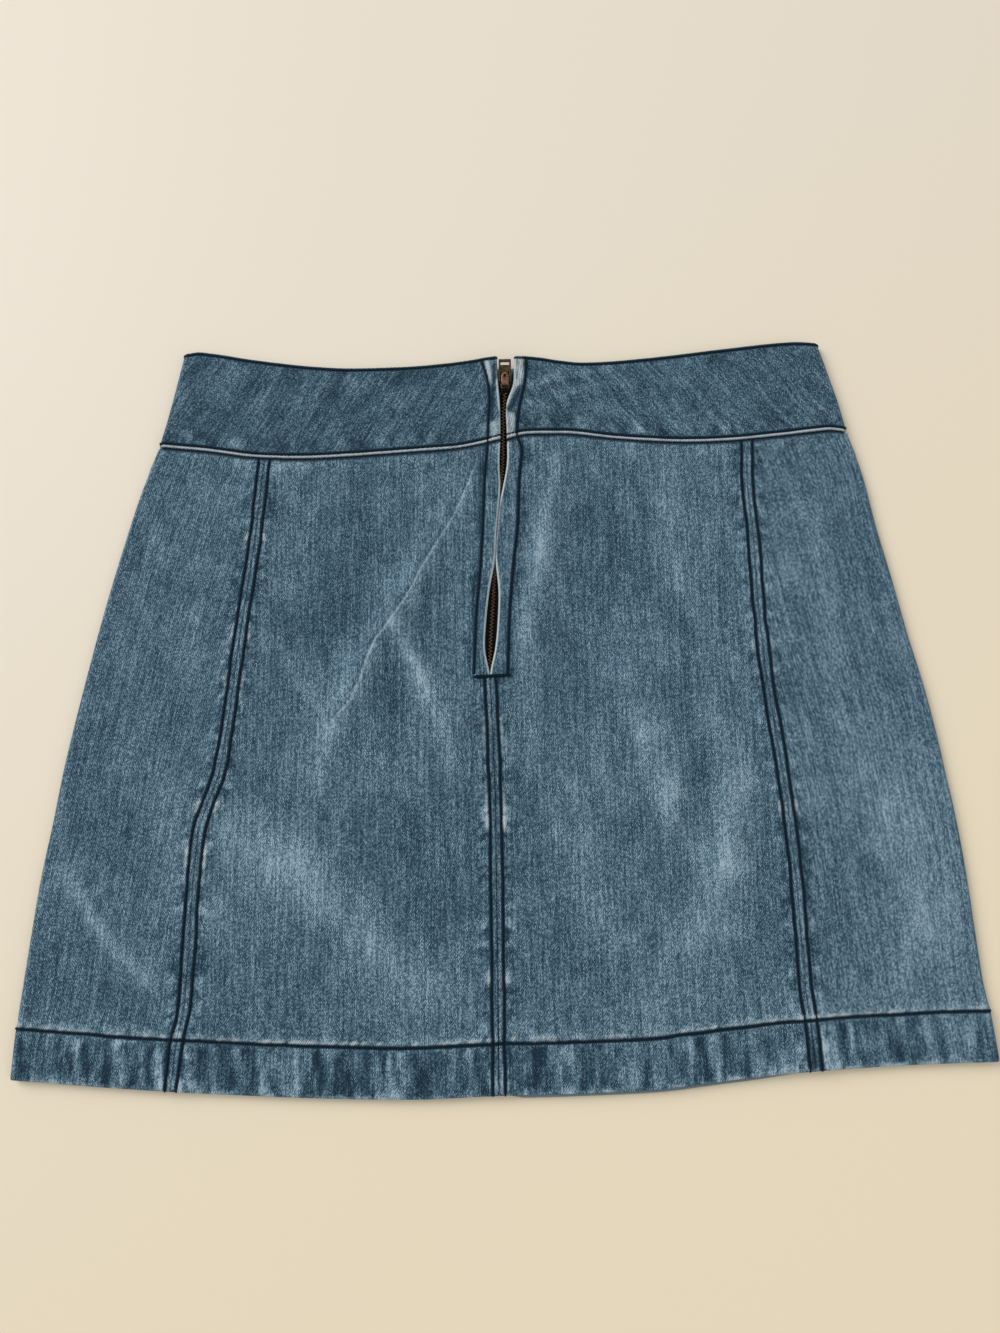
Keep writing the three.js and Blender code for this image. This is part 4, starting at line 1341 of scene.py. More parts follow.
@dataclass(frozen=True)
class FloorPaint:
    """Smooth cream paint, with the light's falloff painted in: a little warmer away from the light."""

    near: tuple[float, float, float] = (0.86, 0.735, 0.53)
    far: tuple[float, float, float] = (0.84, 0.745, 0.615)

    def material(self) -> bpy.types.Material:
        """The finish: a painted slow change of the light's shade across the floor, with a faint unevenness."""
        g = Graph("cream_floor")
        x, y, _ = g.parts(g.place())
        # Painted light falloff: cooler towards the window light, warmer away from it.
        slope = g.step(g.add(y, g.times(x, -0.6)), -0.35, 0.4, 0.0, 1.0)
        uneven = g.times(g.noise(g.place(), 6.0, 3.0), 0.06)
        g.surface(Base_Color=g.mix(g.add(slope, uneven), self.near, self.far), Roughness=0.55)
        g.shader.inputs["Specular IOR Level"].default_value = 0.3
        g.bump(g.noise(g.place(), 260.0, 3.0), 0.08, 0.0002)
        return g.material


class Finishes:
    """Every finish, made once."""

    def __init__(self) -> None:
        """Makes the materials."""
        self.denim = Denim().material()
        self.thread = Thread().material()
        self.tape = Tape().material()
        brass = AgedMetal("aged_brass_teeth", (0.004, 0.003, 0.002), (0.50, 0.32, 0.17), 0.35, 1500.0, rubbed=True)
        self.teeth = brass.material()
        self.plate = AgedMetal("aged_bronze", (0.030, 0.022, 0.012), (0.125, 0.092, 0.048), 0.45, 500.0).material()
        self.copper = AgedMetal("rubbed_copper", (0.11, 0.060, 0.036), (0.34, 0.20, 0.125), 0.4, 600.0).material()
        self.floor = FloorPaint().material()


def finish_piece(
    obj: bpy.types.Object,
    material: bpy.types.Material,
    body: Body = Body.SKIRT,
    nodes: Sequence[str] = (),
) -> bpy.types.Object:
    """Dresses a piece and says what it rides on and stands for.

    Args:
        obj: the piece.
        material: its finish.
        body: the body that it moves with.
        nodes: solids that it replaces.

    Returns:
        The piece.
    """
    obj.data.materials.clear()
    obj.data.materials.append(material)
    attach(obj, body.value)
    if nodes:
        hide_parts(*nodes)
    return obj


@dataclass(frozen=True)
class Topstitch:
    """A row of stitches that lies in its groove."""

    pitch: float = 2.55
    length: float = 2.35
    radius: float = 0.43
    sink: float = 0.12
    rise: float = 0.20
    rings: int = 5
    around: int = 6

    def row(self, path: Array, normals: Array) -> Array:
        """Rings of every stitch along a path.

        Each stitch is a tube along a piece of the path. It rises as a half sine above its two ends, and
        its radius shrinks towards them.

        Args:
            path: points on the cloth, in order.
            normals: the cloth's normal at each.

        Returns:
            Points in four axes: stitch, ring, place round it, and x y z.
        """
        steps = np.linalg.norm(np.diff(path, axis=0), axis=1)
        run = np.concatenate([[0.0], np.cumsum(steps)])
        count = max(int(run[-1] / self.pitch), 1)
        t = np.linspace(0, 1, self.rings)
        start = (np.arange(count) + 0.5) * run[-1] / count - self.length / 2
        at = start[:, None] + t[None] * self.length
        read = lambda table: np.stack([np.interp(at, run, table[:, k]) for k in range(3)], -1)
        centre, normal = read(path), unit(read(normals))
        tangent = unit(np.gradient(centre, axis=1))
        across = unit(np.cross(tangent, normal))
        normal = unit(np.cross(across, tangent))
        arch = np.sin(math.pi * t)
        centre = centre + normal * (self.rise * arch - self.sink + 0.5 * self.radius)[None, :, None]
        size = self.radius * (0.55 + 0.45 * arch**0.5)
        angle = 2 * math.pi * np.arange(self.around) / self.around
        around = (
            np.cos(angle)[None, None, :, None] * across[:, :, None]
            + np.sin(angle)[None, None, :, None] * normal[:, :, None]
        )
        rings = centre[:, :, None] + around * size[None, :, None, None]
        rings[..., 2] = np.maximum(rings[..., 2], 0.02)
        return rings

    def sew(self, name: str, lines: Sequence[tuple[Array, Array]], material: bpy.types.Material) -> bpy.types.Object:
        """All the rows of one sub-assembly as a piece.

        Args:
            name: name of the piece.
            lines: path and normals of each row.
            material: finish of the thread.

        Returns:
            The piece.
        """
        rings = np.concatenate([self.row(path, normals) for path, normals in lines if len(path) > 3])
        obj = mesh_object(name, *tubes(rings))
        return finish_piece(obj, material)


def panel_rows(length: float) -> Array:
    """Heights up a panel of the grid's rows: close at both edges, and 1.5 mm apart between."""
    low = np.array([0.0, 0.12, 0.3, 0.55, 0.85, 1.25, 1.9, 2.8])
    high = length - low[::-1]
    between = np.linspace(low[-1], high[0], int((high[0] - low[-1]) / 1.55))
    return np.concatenate([low[:-1], between, high[1:]])


SEAM_OFFSETS = (0.0, 0.12, 0.3, 0.55, 0.9, 1.3, 1.75, 2.2, 2.6, 3.0, 3.4, 3.9, 4.6, 5.5, 6.6, 7.8, 9.2, 10.8)
LIP_OFFSETS = (0.0, 0.12, 0.3, 0.55, 0.85, 1.2, 1.6, 2.05, 2.5, 2.9, 3.3, 3.8, 4.5, 5.3, 6.1, 6.9, 7.7, 8.5, 9.3, 10.2, 11.4, 13.0)


def spread(width: Array, near: Sequence[float], far: Sequence[float], middle: int) -> Array:
    """Distances across a panel from 0 to its width: fixed near both edges, and even between.

    Args:
        width: the panel's width at each row.
        near: distances from the first edge.
        far: distances from the last edge.
        middle: how many columns lie between.

    Returns:
        One row of distances for each width.
    """
    width = np.asarray(width, float)[:, None]
    first = np.broadcast_to(np.asarray(near, float), (len(width), len(near)))
    last = width - np.asarray(far, float)[::-1]
    t = np.linspace(0, 1, middle + 2)[1:-1]
    between = near[-1] + (width - far[-1] - near[-1]) * t
    return np.hstack([first, between, last])


@dataclass(frozen=True)
class Cut:
    """Flat size of a sheet of cloth, in metres and square metres."""

    width: float
    length: float
    area: float


@dataclass
class BackPanel:
    """A back half of the skirt, from its princess seam to the centre back, with its rows of stitches."""

    side: Side
    skin: Skin
    cut: Cut
    gap: float = 0.1
    columns: int = 52
    lip: float = 0.8
    edge: float = 0.3

    def wall(self) -> Wall:
        """Both faces: the lay's height plus the skin's relief, rounded at each edge.

        The outer face drops along a quarter circle at the seam, the lip and the hem, and the inner face
        rises in the same way at the hem.
        """
        lay = self.skin.lay
        rows = panel_rows(lay.length)
        end_x, _ = lay.back_xy(self.side, rows, np.ones(len(rows)), self.gap)
        width = np.abs(end_x - lay.seam(self.side, rows))
        part = spread(width, SEAM_OFFSETS, LIP_OFFSETS, self.columns) / width[:, None]
        up = np.broadcast_to(rows[:, None], part.shape)
        x, y = lay.back_xy(self.side, up, part, self.gap)
        wear = self.skin.upper(up, x, y)
        base = lay.top_z(up, x, y)
        across = part * width[:, None]
        lip = width[:, None] - across
        hem = self.skin.hem_up(up, x)
        open_lip = ease(lay.tack_y - 4, lay.tack_y + 6, y)
        drop = np.maximum(roll(across, self.edge), roll(hem, 1.1))
        drop = np.maximum(drop, roll(lip, self.edge) * (1 - open_lip) + roll(lip, self.lip) * open_lip)
        drop = np.maximum(drop, 0.6 * (1 - ease(0.0, 1.3, lay.length - up)))
        outer = np.stack([x, y, base + wear.relief - drop], -1)
        inner = np.stack([x, y, base - lay.thickness(up) + 0.9 * roll(hem, 1.1)], -1)
        cloth = np.stack([x, y], -1)
        grids = {
            "seam": across - stray(up, 20 + 4 * self.side.value),
            "lip": lip - stray(y, 31),
            "hem": hem - stray(x, 41),
            "zip": wear.rows[..., 1],
            "ditch": lay.length - up,
            "y": y,
        }
        return Wall(outer, inner, cloth, wear, grids)

    def build(self, finishes: Finishes) -> bpy.types.Object:
        """The panel and its topstitching."""
        name = f"back_panel_{self.side.word}"
        wall = self.wall()
        panel = finish_piece(wall.mesh(f"{name}_cloth"), finishes.denim, nodes=[name])
        tack = self.skin.lay.tack_y
        low, high = wall.grids["y"] < tack - 0.5, wall.grids["y"] > tack
        lines = [
            wall.trace("seam", self.skin.seam.row, 1),
            wall.trace("lip", self.skin.centre_seam.row, 1, low),
            wall.trace("zip", 0.0, 1, high & (wall.grids["zip"] < 40)),
            wall.trace("hem", self.skin.hem.row, 0),
            wall.trace("ditch", self.skin.ditch, 0),
        ]
        stitches = Topstitch().sew(f"{name}_stitches", lines, finishes.thread)
        return panel


@dataclass
class SidePanel:
    """A side panel, from the back princess seam over the side fold to the front princess seam."""

    side: Side
    skin: Skin
    cut: Cut
    gap: float = 0.1
    upper_columns: int = 26
    lower_columns: int = 22
    fold_steps: int = 12
    edge: float = 0.3
    clear: float = 0.45

    def wall(self) -> Wall:
        """The upper half, the half circle of the fold, and the lower half, as one grid.

        The fold's points turn about its middle at the wall's outer and inner radius. The lower half's
        outer face lies on the floor where its relief is highest, and above it elsewhere.
        """
        lay, sign = self.skin.lay, self.side.value
        rows = panel_rows(lay.length)
        thick = lay.thickness(rows)
        radius = lay.radius(thick)
        seam = lay.seam(self.side, rows) + sign * self.gap / 2
        crest = lay.fold(self.side, rows) - sign * radius
        front = lay.front_seam[0] + (lay.front_seam[1] - lay.front_seam[0]) * rows / lay.length
        front = sign * (front + self.gap / 2)

        width = np.abs(crest - seam)
        part = spread(width, SEAM_OFFSETS, (0.0, 2.0, 4.0), self.upper_columns) / width[:, None]
        up = np.broadcast_to(rows[:, None], part.shape)
        x = seam[:, None] + (crest - seam)[:, None] * part
        y = lay.side_y(self.side, up, part, self.gap)
        top = self.skin.upper(up, x, y)
        base = lay.top_z(up, x, y)
        across = part * width[:, None]
        hem = self.skin.hem_up(up, x)
        drop = np.maximum(roll(across, self.edge), roll(hem, 1.1))
        drop = np.maximum(drop, 0.6 * (1 - ease(0.0, 1.3, lay.length - up)))
        upper = np.stack([x, y, base + top.relief - drop], -1)
        upper_in = np.stack([x, y, base - thick[:, None] + 0.9 * roll(hem, 1.1)], -1)

        angle = math.pi / 2 - math.pi * np.arange(1, self.fold_steps) / self.fold_steps
        shape = (len(rows), len(angle))
        fold_y = np.broadcast_to(y[:, -1:], shape)
        fold_hem = np.broadcast_to(hem[:, -1:], shape)
        shrink = roll(fold_hem, 1.1) + 0.6 * (1 - ease(0.0, 1.3, lay.length - rows[:, None]))
        outer_r = radius[:, None] - shrink
        inner_r = (radius - thick)[:, None] + 0.9 * roll(fold_hem, 1.1)
        turn = lambda r: np.stack(
            [crest[:, None] + sign * r * np.cos(angle), fold_y, radius[:, None] + r * np.sin(angle)], -1
        )
        over = Wear.plain(shape)
        # Painted highlight on the fold's round.
        over.fade += 0.28
        self.skin.hem.add(over, fold_hem, crest[:, None] + 0 * angle, 41)

        below = np.abs(front - crest)
        lower_part = spread(below, (0.0, 2.0, 4.0), SEAM_OFFSETS, self.lower_columns) / below[:, None]
        up2 = np.broadcast_to(rows[:, None], lower_part.shape)
        x2 = crest[:, None] + (front - crest)[:, None] * lower_part
        y2 = lay.lower_y(up2, x2, self.gap)
        under = self.skin.lower(up2, x2, y2)
        inset = lower_part * below[:, None]
        to_seam = below[:, None] - inset
        hem2 = up2 / lay.length * (lay.lower_waist_y(x2 * 0.78) - lay.hem_y(x2))
        settle = ease(0, 8, inset)
        rise = np.clip((self.clear - under.relief) * settle, 0, None)
        rise = np.maximum(rise, roll(to_seam, self.edge))
        lower = np.stack([x2, y2, rise + roll(hem2, 1.1)], -1)
        lower_in = np.stack([x2, y2, thick[:, None] + 0 * x2 - 0.9 * roll(hem2, 1.1)], -1)

        join = lambda a, b, c: np.concatenate([a, b, c], axis=1)
        outer = join(upper, turn(outer_r), lower)
        inner = join(upper_in, turn(inner_r), lower_in)
        steps = np.linalg.norm(np.diff(outer, axis=1), axis=-1)
        run = np.concatenate([np.zeros((len(rows), 1)), np.cumsum(steps, axis=1)], axis=1)
        run -= run[:, part.shape[1] - 1 : part.shape[1]]
        cloth = np.stack([-sign * run, np.broadcast_to(1.03 * rows[:, None], run.shape)], -1)
        wear = Wear(
            join(top.relief, over.relief, under.relief),
            join(top.fade, over.fade, under.fade),
            join(top.pale, over.pale, under.pale),
            join(top.rows, over.rows, under.rows),
        )
        far = np.full(shape, 99.0)
        grids = {
            "seam": join(across - stray(up, 20 + 4 * sign), far, np.full(x2.shape, 99.0)),
            "front": join(np.full(x.shape, 99.0), far, to_seam - stray(up2, 81)),
            "hem": join(hem - stray(x, 41), fold_hem - stray(crest[:, None], 41), hem2 - stray(x2, 91)),
            "ditch": join(lay.length - up, far, np.full(x2.shape, 99.0)),
        }
        return Wall(outer, inner, cloth, wear, grids)

    def build(self, finishes: Finishes) -> bpy.types.Object:
        """The panel and its topstitching."""
        name = f"side_panel_{self.side.word}"
        wall = self.wall()
        panel = finish_piece(wall.mesh(f"{name}_cloth"), finishes.denim, nodes=[name])
        lines = [
            wall.trace("seam", self.skin.seam.row, 1),
            wall.trace("front", self.skin.front_seam.row, 1),
            wall.trace("hem", self.skin.hem.row, 0),
            wall.trace("ditch", self.skin.ditch, 0),
        ]
        stitches = Topstitch().sew(f"{name}_stitches", lines, finishes.thread)
        return panel


@dataclass
class FrontPanel:
    """The front, whole between its princess seams, lying flat underneath."""

    skin: Skin
    cut: Cut
    gap: float = 0.1
    columns: int = 84
    edge: float = 0.3
    clear: float = 0.45

    def wall(self) -> Wall:
        """A flat wall: the outer face above the floor by what its relief leaves, and the inner face level."""
        lay = self.skin.lay
        rows = panel_rows(lay.length)
        half = lay.front_seam[0] + (lay.front_seam[1] - lay.front_seam[0]) * rows / lay.length - self.gap / 2
        across = spread(2 * half, SEAM_OFFSETS, SEAM_OFFSETS, self.columns)
        x = across - half[:, None]
        up = np.broadcast_to(rows[:, None], x.shape)
        y = lay.lower_y(up, x, self.gap)
        wear = self.skin.lower(up, x, y)
        hem = up / lay.length * (lay.lower_waist_y(x * 0.78) - lay.hem_y(x))
        to_seam = np.minimum(across, 2 * half[:, None] - across)
        rise = np.maximum(np.clip(self.clear - wear.relief, 0, None), roll(to_seam, self.edge))
        outer = np.stack([x, y, rise + roll(hem, 1.1)], -1)
        inner = np.stack([x, y, lay.thickness(up) - 0.9 * roll(hem, 1.1)], -1)
        cloth = np.stack([-x, y], -1)
        grids = {"seam": to_seam - stray(up, 81), "hem": hem - stray(x, 91), "across": across - half[:, None]}
        # Painted shade on the inner face behind the zip.
        return Wall(outer, inner, cloth, wear, grids, -0.85 * bell(x - lay.zip_middle(y), 0, 9.0))

    def build(self, finishes: Finishes) -> bpy.types.Object:
        """The panel and its topstitching."""
        wall = self.wall()
        panel = finish_piece(wall.mesh("front_panel_cloth"), finishes.denim, nodes=["front_panel"])
        left = wall.grids["across"] < 0
        lines = [
            wall.trace("seam", self.skin.front_seam.row, 1, left),
            wall.trace("seam", self.skin.front_seam.row, 1, ~left),
            wall.trace("hem", self.skin.hem.row, 0),
        ]
        stitches = Topstitch().sew("front_panel_stitches", lines, finishes.thread)
        return panel


@dataclass
class Waistband:
    """The doubled waistband, one strip from the zip round under the skirt and back to the zip."""

    skin: Skin
    cut: Cut
    gap: float = 0.1
    rows: int = 44
    back_columns: int = 66
    side_columns: int = 22
    fold_steps: int = 12
    under_columns: int = 70
    low_row: float = 2.05
    top_row: float = 1.6
    clear: float = 0.5
    dip: float = 4.6

    def shares(self) -> Array:
        """Shares of the band's height: close at both edges, and even between."""
        low = np.array([0.0, 0.12, 0.3, 0.6, 0.95, 1.3, 1.6, 1.9, 2.2, 2.6, 3.2]) / 52.0
        between = np.linspace(low[-1], 1 - low[-1], self.rows)
        return np.concatenate([low[:-1], between, 1 - low[::-1][1:]])

    def upper_wear(self, x: Array, y: Array, low: Array, top: Array, grain: Array) -> Wear:
        """Relief and wear of the band's upper half.

        Args:
            x: x of each point.
            y: y of each point.
            low: distance above the band's lower edge.
            top: distance below its upper edge.
            grain: cloth coordinates, turned with its slanting grain.

        Returns:
            Puckers along both edges, slanting streaks, creases with painted light and shade, a rolled welt at the
            lower edge, and the turned ends.
        """
        lay, wear = self.skin.lay, Wear.plain(x.shape)
        tuck = Noise(101).at((x + 0.2 * low) / 4.3, low / 8.0)
        nip = Noise(102).at(x / 2.5, low / 5.0)
        tuck2 = Noise(103).at((x - 0.3 * top) / 4.6, top / 8.0)
        streak = Noise(104).at(grain[..., 0] / 3.4, grain[..., 1] / 26.0)
        blot = Noise(105).at(x / 11.0, y / 9.0)
        near_low = ease(2.4, 3.6, low) * (1 - ease(7.0, 14.0, low))
        near_top = ease(2.2, 3.4, top) * (1 - ease(6.0, 12.0, top))
        creases = lines_sum(BAND_CREASES, x, y)
        wear.relief += creases + 0.30 * tuck * near_low + 0.18 * tuck2 * near_top + 0.12 * streak
        wear.relief += 0.14 * blot + 0.20 * bell(low, 0.5, 0.6) - 0.42 * bell(low, self.low_row, 0.5)
        wear.relief -= 0.30 * bell(top, self.top_row, 0.6)
        wear.fade += -0.42 - 0.2 * ease(40, -60, x) + (1.15 * tuck + 0.8 * nip) * near_low + (0.75 * tuck2 + 0.4 * nip) * near_top
        # Creases paler on their crests and darker in their troughs: partly fading, partly painted highlight and
        # shade.
        wear.fade += 0.42 * streak + 0.34 * blot + 0.7 * creases
        wear.pale += (0.92 + 0.30 * nip) * (1 - ease(0.85, 1.20, low))
        wear.pale += 0.30 * (1 - ease(0.3, 0.9, top))
        left = x < lay.zip_middle(y)
        away = np.where(left, lay.centre(Side.LEFT, y) - x, x - lay.centre(Side.RIGHT, y))
        row = np.where(left, lay.zip_row(Side.LEFT, y) - x, x - lay.zip_row(Side.RIGHT, y))
        facing = 1 - ease(-0.9, -0.3, row)
        tuck3 = Noise(106).at(y / 5.0 + 7.0 * left, row / 5.0)
        wear.relief += 0.30 * tuck3 * ease(0.4, 1.4, row) * (1 - ease(5, 10, row))
        wear.relief += 0.3 * (1 - ease(-0.2, 1.0, row)) - 0.34 * bell(row, 0, 0.6) + 0.3 * bell(away, 0.9, 0.8)
        wear.fade += 0.3 * tuck3 * ease(0.4, 1.4, row) * (1 - ease(5, 10, row)) - 0.3 * bell(row, 1.5, 1.2)
        marks = lines_sum(END_MARKS, x, y)
        grain_mark = 0.80 + 0.30 * Noise(107).at(y / 4.0, row / 1.6) + 0.25 * Noise(108).at(y / 1.6, row / 1.1)
        wear.pale += marks * grain_mark * facing + 0.45 * (1 - ease(0.5, 1.3, away))
        wear.fade += 0.6 * marks * facing
        wear.relief += 0.3 * marks * facing
        wear.rows[..., 0] = low - self.low_row
        wear.rows[..., 1] = row
        wear.rows[..., 2] = top - self.top_row
        return wear

    def lower_wear(self, x: Array, y: Array, low: Array, top: Array, grain: Array) -> Wear:
        """Relief and wear of the band's lower half: puckers along both edges, and the rolled welt."""
        wear = Wear.plain(x.shape)
        tuck = Noise(111).at(x / 4.3, low / 8.0)
        streak = Noise(112).at(grain[..., 0] / 3.4, grain[..., 1] / 26.0)
        near_low = ease(2.4, 3.6, low) * (1 - ease(7.0, 14.0, low))
        wear.relief += 0.20 * tuck * near_low + 0.08 * streak + 0.2 * bell(low, 0.9, 0.8)
        wear.relief -= 0.34 * bell(low, self.low_row, 0.55) + 0.30 * bell(top, self.top_row, 0.6)
        wear.fade += -0.15 + 0.9 * tuck * near_low + 0.4 * streak
        wear.pale += 0.60 * (1 - ease(0.5, 0.9, low)) + 0.30 * (1 - ease(0.3, 0.9, top))
        wear.rows[..., 0] = low - self.low_row
        wear.rows[..., 2] = top - self.top_row
        return wear

    def half(self, side: Side) -> Wall:
        """Half of the band, from the zip over the side fold to the middle of the lower layer.

        Its columns stand over those of the panels: the share of the way between centre, seam and fold is
        the same in both.
        """
        lay, sign = self.skin.lay, side.value
        share = self.shares()[:, None]
        thick, radius = lay.double, float(lay.radius(np.array(lay.double)))
        seam0, fold0 = float(lay.seam(side, lay.length)), float(lay.fold(side, lay.length))
        fold1 = float(lay.band_fold(side, 1.0))
        fold = lay.band_fold(side, share)
        crest = fold - sign * radius
        seam = seam0 * fold / fold0

        def upper_y(waist_x: Array) -> Array:
            """y above a point of the waist seam."""
            low = lay.waist_y(waist_x) + self.gap
            return low + (lay.band_top_y(waist_x * fold1 / fold0) - low) * share

        ends = np.array(LIP_OFFSETS[:-3] + (9.8, 11.0, 12.5))
        width = abs(seam0 - lay.zip_x)
        lip_part = 1 - ends / width
        t = np.linspace(lip_part[-1], 0, self.back_columns + 1)[1:]
        part = np.concatenate([lip_part, t])[None]
        zip_y = upper_y(np.array([[lay.zip_x]]))
        edge = lay.centre(side, zip_y)
        x_back = seam + (edge - seam) * part
        waist_back = seam0 + (lay.zip_x - seam0) * part
        part2 = np.linspace(0, 1, self.side_columns + 1)[None, 1:]
        x_side = seam + (crest - seam) * part2
        waist_side = seam0 + (fold0 - seam0) * part2 + 0 * share
        x = np.hstack([x_back, x_side])
        waist_x = np.hstack([waist_back + 0 * share, waist_side])
        y = upper_y(waist_x)
        tall = np.gradient(y, axis=0).sum(axis=0, keepdims=True)
        low, top = share * tall, (1 - share) * tall
        left_fold, right_fold = lay.band_fold(Side.LEFT, share), lay.band_fold(Side.RIGHT, share)
        inset = np.minimum(x - left_fold, right_fold - x) - radius
        flat = 2 * lay.double + lay.air + lines_sum(BAND_RIDGES, x, y, largest=True) + lay.lift(x, y)
        base = lay.settled(inset, np.full(x.shape, 2 * radius), flat)
        tilt = math.radians(32 if side is Side.LEFT else 42)
        turned = lambda a, b: np.stack(
            [a * math.cos(tilt) + sign * b * math.sin(tilt), b * math.cos(tilt) - sign * a * math.sin(tilt)], -1
        )
        wear = self.upper_wear(x, y, low, top, turned(x, y))
        calm = ease(1.0, 7.0, inset + radius)
        lip = np.abs(x - edge)
        drop = np.maximum(roll(low, 0.9), roll(top, 0.9))
        drop = np.maximum(drop, roll(lip, 0.8))
        rise_in = 0.9 * np.maximum(roll(low, 0.9), roll(top, 0.9))
        upper = np.stack([x, y, base + wear.relief * calm - drop], -1)
        upper_in = np.stack([x, y, base - thick + rise_in], -1)

        angle = math.pi / 2 - math.pi * np.arange(1, self.fold_steps)[None] / self.fold_steps
        shape = (len(share), angle.shape[1])
        fold_y = np.broadcast_to(y[:, -1:], shape)
        fold_low, fold_top = np.broadcast_to(low[:, -1:], shape), np.broadcast_to(top[:, -1:], shape)
        shrink = np.maximum(roll(fold_low, 0.9), roll(fold_top, 0.9))
        turn = lambda r: np.stack([crest + sign * r * np.cos(angle), fold_y, radius + r * np.sin(angle)], -1)
        round_x = crest + sign * radius * np.cos(angle)
        over = self.lower_wear(round_x, fold_y, fold_low, fold_top, turned(round_x, fold_y))
        # Painted highlight on the band's fold.
        over.fade += 0.15

        part3 = np.linspace(0, 1, self.under_columns + 1)[None]
        x3 = crest * (1 - part3)
        waist3 = fold0 * (1 - part3) + 0 * share
        hidden = lay.front_hidden * (1 - (1 - part3) ** 2) + self.dip * bell(x3, 5.7, 11.0)
        top_y = lay.band_top_y(fold1 * (1 - part3)) - hidden
        low_y = lay.lower_waist_y(waist3) + self.gap
        y3 = low_y + (top_y - low_y) * share
        tall3 = (top_y - low_y)[:1]
        low3, top3 = share * tall3, (1 - share) * tall3
        under = self.lower_wear(x3, y3, low3, top3, turned(x3, y3))
        settle = ease(0, 8, np.abs(x3 - crest))
        rise = np.clip((self.clear - under.relief) * settle, 0, None)
        lower = np.stack([x3, y3, np.maximum(rise, np.maximum(roll(low3, 0.9), roll(top3, 0.9)))], -1)
        lower_in = np.stack([x3, y3, thick - 0.9 * np.maximum(roll(low3, 0.9), roll(top3, 0.9))], -1)

        join = lambda a, b, c: np.concatenate([a, b, c], axis=1)
        outer = join(upper, turn(radius - shrink), lower)
        inner = join(upper_in, turn(radius - thick + 0.9 * shrink), lower_in)
        steps = np.linalg.norm(np.diff(outer, axis=1), axis=-1)
        run = np.concatenate([np.zeros((len(share), 1)), np.cumsum(steps, axis=1)], axis=1)
        cloth = turned(sign * run, join(y, fold_y, y3))
        wear = Wear(
            join(wear.relief, over.relief, under.relief),
            join(wear.fade, over.fade, under.fade),
            join(wear.pale, over.pale, under.pale),
            join(wear.rows, over.rows, under.rows),
        )
        grids = {
            "low": join(low, fold_low, low3),
            "top": join(top, fold_top, top3),
            "zip": wear.rows[..., 1],
        }
        return Wall(outer, inner, cloth, wear, grids)

    def build(self, finishes: Finishes) -> bpy.types.Object:
        """The band and its topstitching."""
        left, right = self.half(Side.LEFT), self.half(Side.RIGHT)
        flip = lambda grid: grid[:, ::-1][:, 1:]
        both = lambda a, b: np.concatenate([a, flip(b)], axis=1)
        wall = Wall(
            both(left.outer, right.outer),
            both(left.inner, right.inner),
            both(left.cloth, right.cloth),
            Wear(*(both(getattr(left.wear, f), getattr(right.wear, f)) for f in ("relief", "fade", "pale", "rows"))),
            {name: both(left.grids[name], right.grids[name]) for name in left.grids},
        )
        lay, points = self.skin.lay, wall.inner
        # Painted shade on the band's inner face behind the zip.
        under = points[..., 2] < lay.double + 0.6
        wall.shade = np.where(under, -0.85 * bell(points[..., 0] - lay.zip_x, 0, 9.0), 0.0)
        wall.shade *= 1 - ease(183, 188, points[..., 1])
        band = finish_piece(wall.mesh("waistband_cloth"), finishes.denim, nodes=["waistband"])
        first = np.zeros(wall.outer.shape[:2], bool)
        first[:, : first.shape[1] // 2] = True
        beside_zip = (wall.grids["zip"] < 40) & (wall.grids["top"] > 2.4)
        lines = [
            wall.trace("low", self.low_row, 0),
            wall.trace("top", self.top_row, 0),
            wall.trace("zip", 0.0, 1, first & beside_zip),
            wall.trace("zip", 0.0, 1, ~first & beside_zip),
        ]
        stitches = Topstitch().sew("waistband_stitches", lines, finishes.thread)
        return band


@dataclass
class BarTack:
    """The thick bar of thread across the foot of the zip."""

    skin: Skin
    start: tuple[float, float] = (-14.1, 11.3)
    end: tuple[float, float] = (6.4, 11.9)
    half: float = 0.95
    height: float = 0.8
    thread: float = 0.42

    def build(self, finishes: Finishes) -> bpy.types.Object:
        """A half-round bar along a line on the cloth, with a ripple for each turn of thread."""
        steps = 120
        t = np.linspace(0, 1, steps)
        x = self.start[0] + (self.end[0] - self.start[0]) * t
        y = self.start[1] + (self.end[1] - self.start[1]) * t
        lay = self.skin.lay
        up = lay.length * (y - lay.hem_y(x)) / (lay.waist_y(x) - lay.hem_y(x))
        base = lay.top_z(up, x, y) + 0.45
        ripple = 1 + 0.16 * np.sin(2 * math.pi * t * np.hypot(20.5, 0.6) / self.thread)
        shrink = np.minimum(1.0, 6 * np.minimum(t, 1 - t) + 0.35)
        angle = 2 * math.pi * np.arange(12) / 12
        size = (ripple * shrink)[:, None]
        rings = np.stack(
            [
                np.broadcast_to(x[:, None], (steps, 12)) - 0.03 * self.half * size * np.cos(angle),
                y[:, None] + self.half * size * np.cos(angle),
                base[:, None] + self.height * size * np.sin(angle) * np.where(np.sin(angle) < 0, 0.7, 1.0),
            ],
            -1,
        )
        obj = mesh_object("zip_bar_tack", *tubes(rings[None]))
        return finish_piece(obj, finishes.thread)


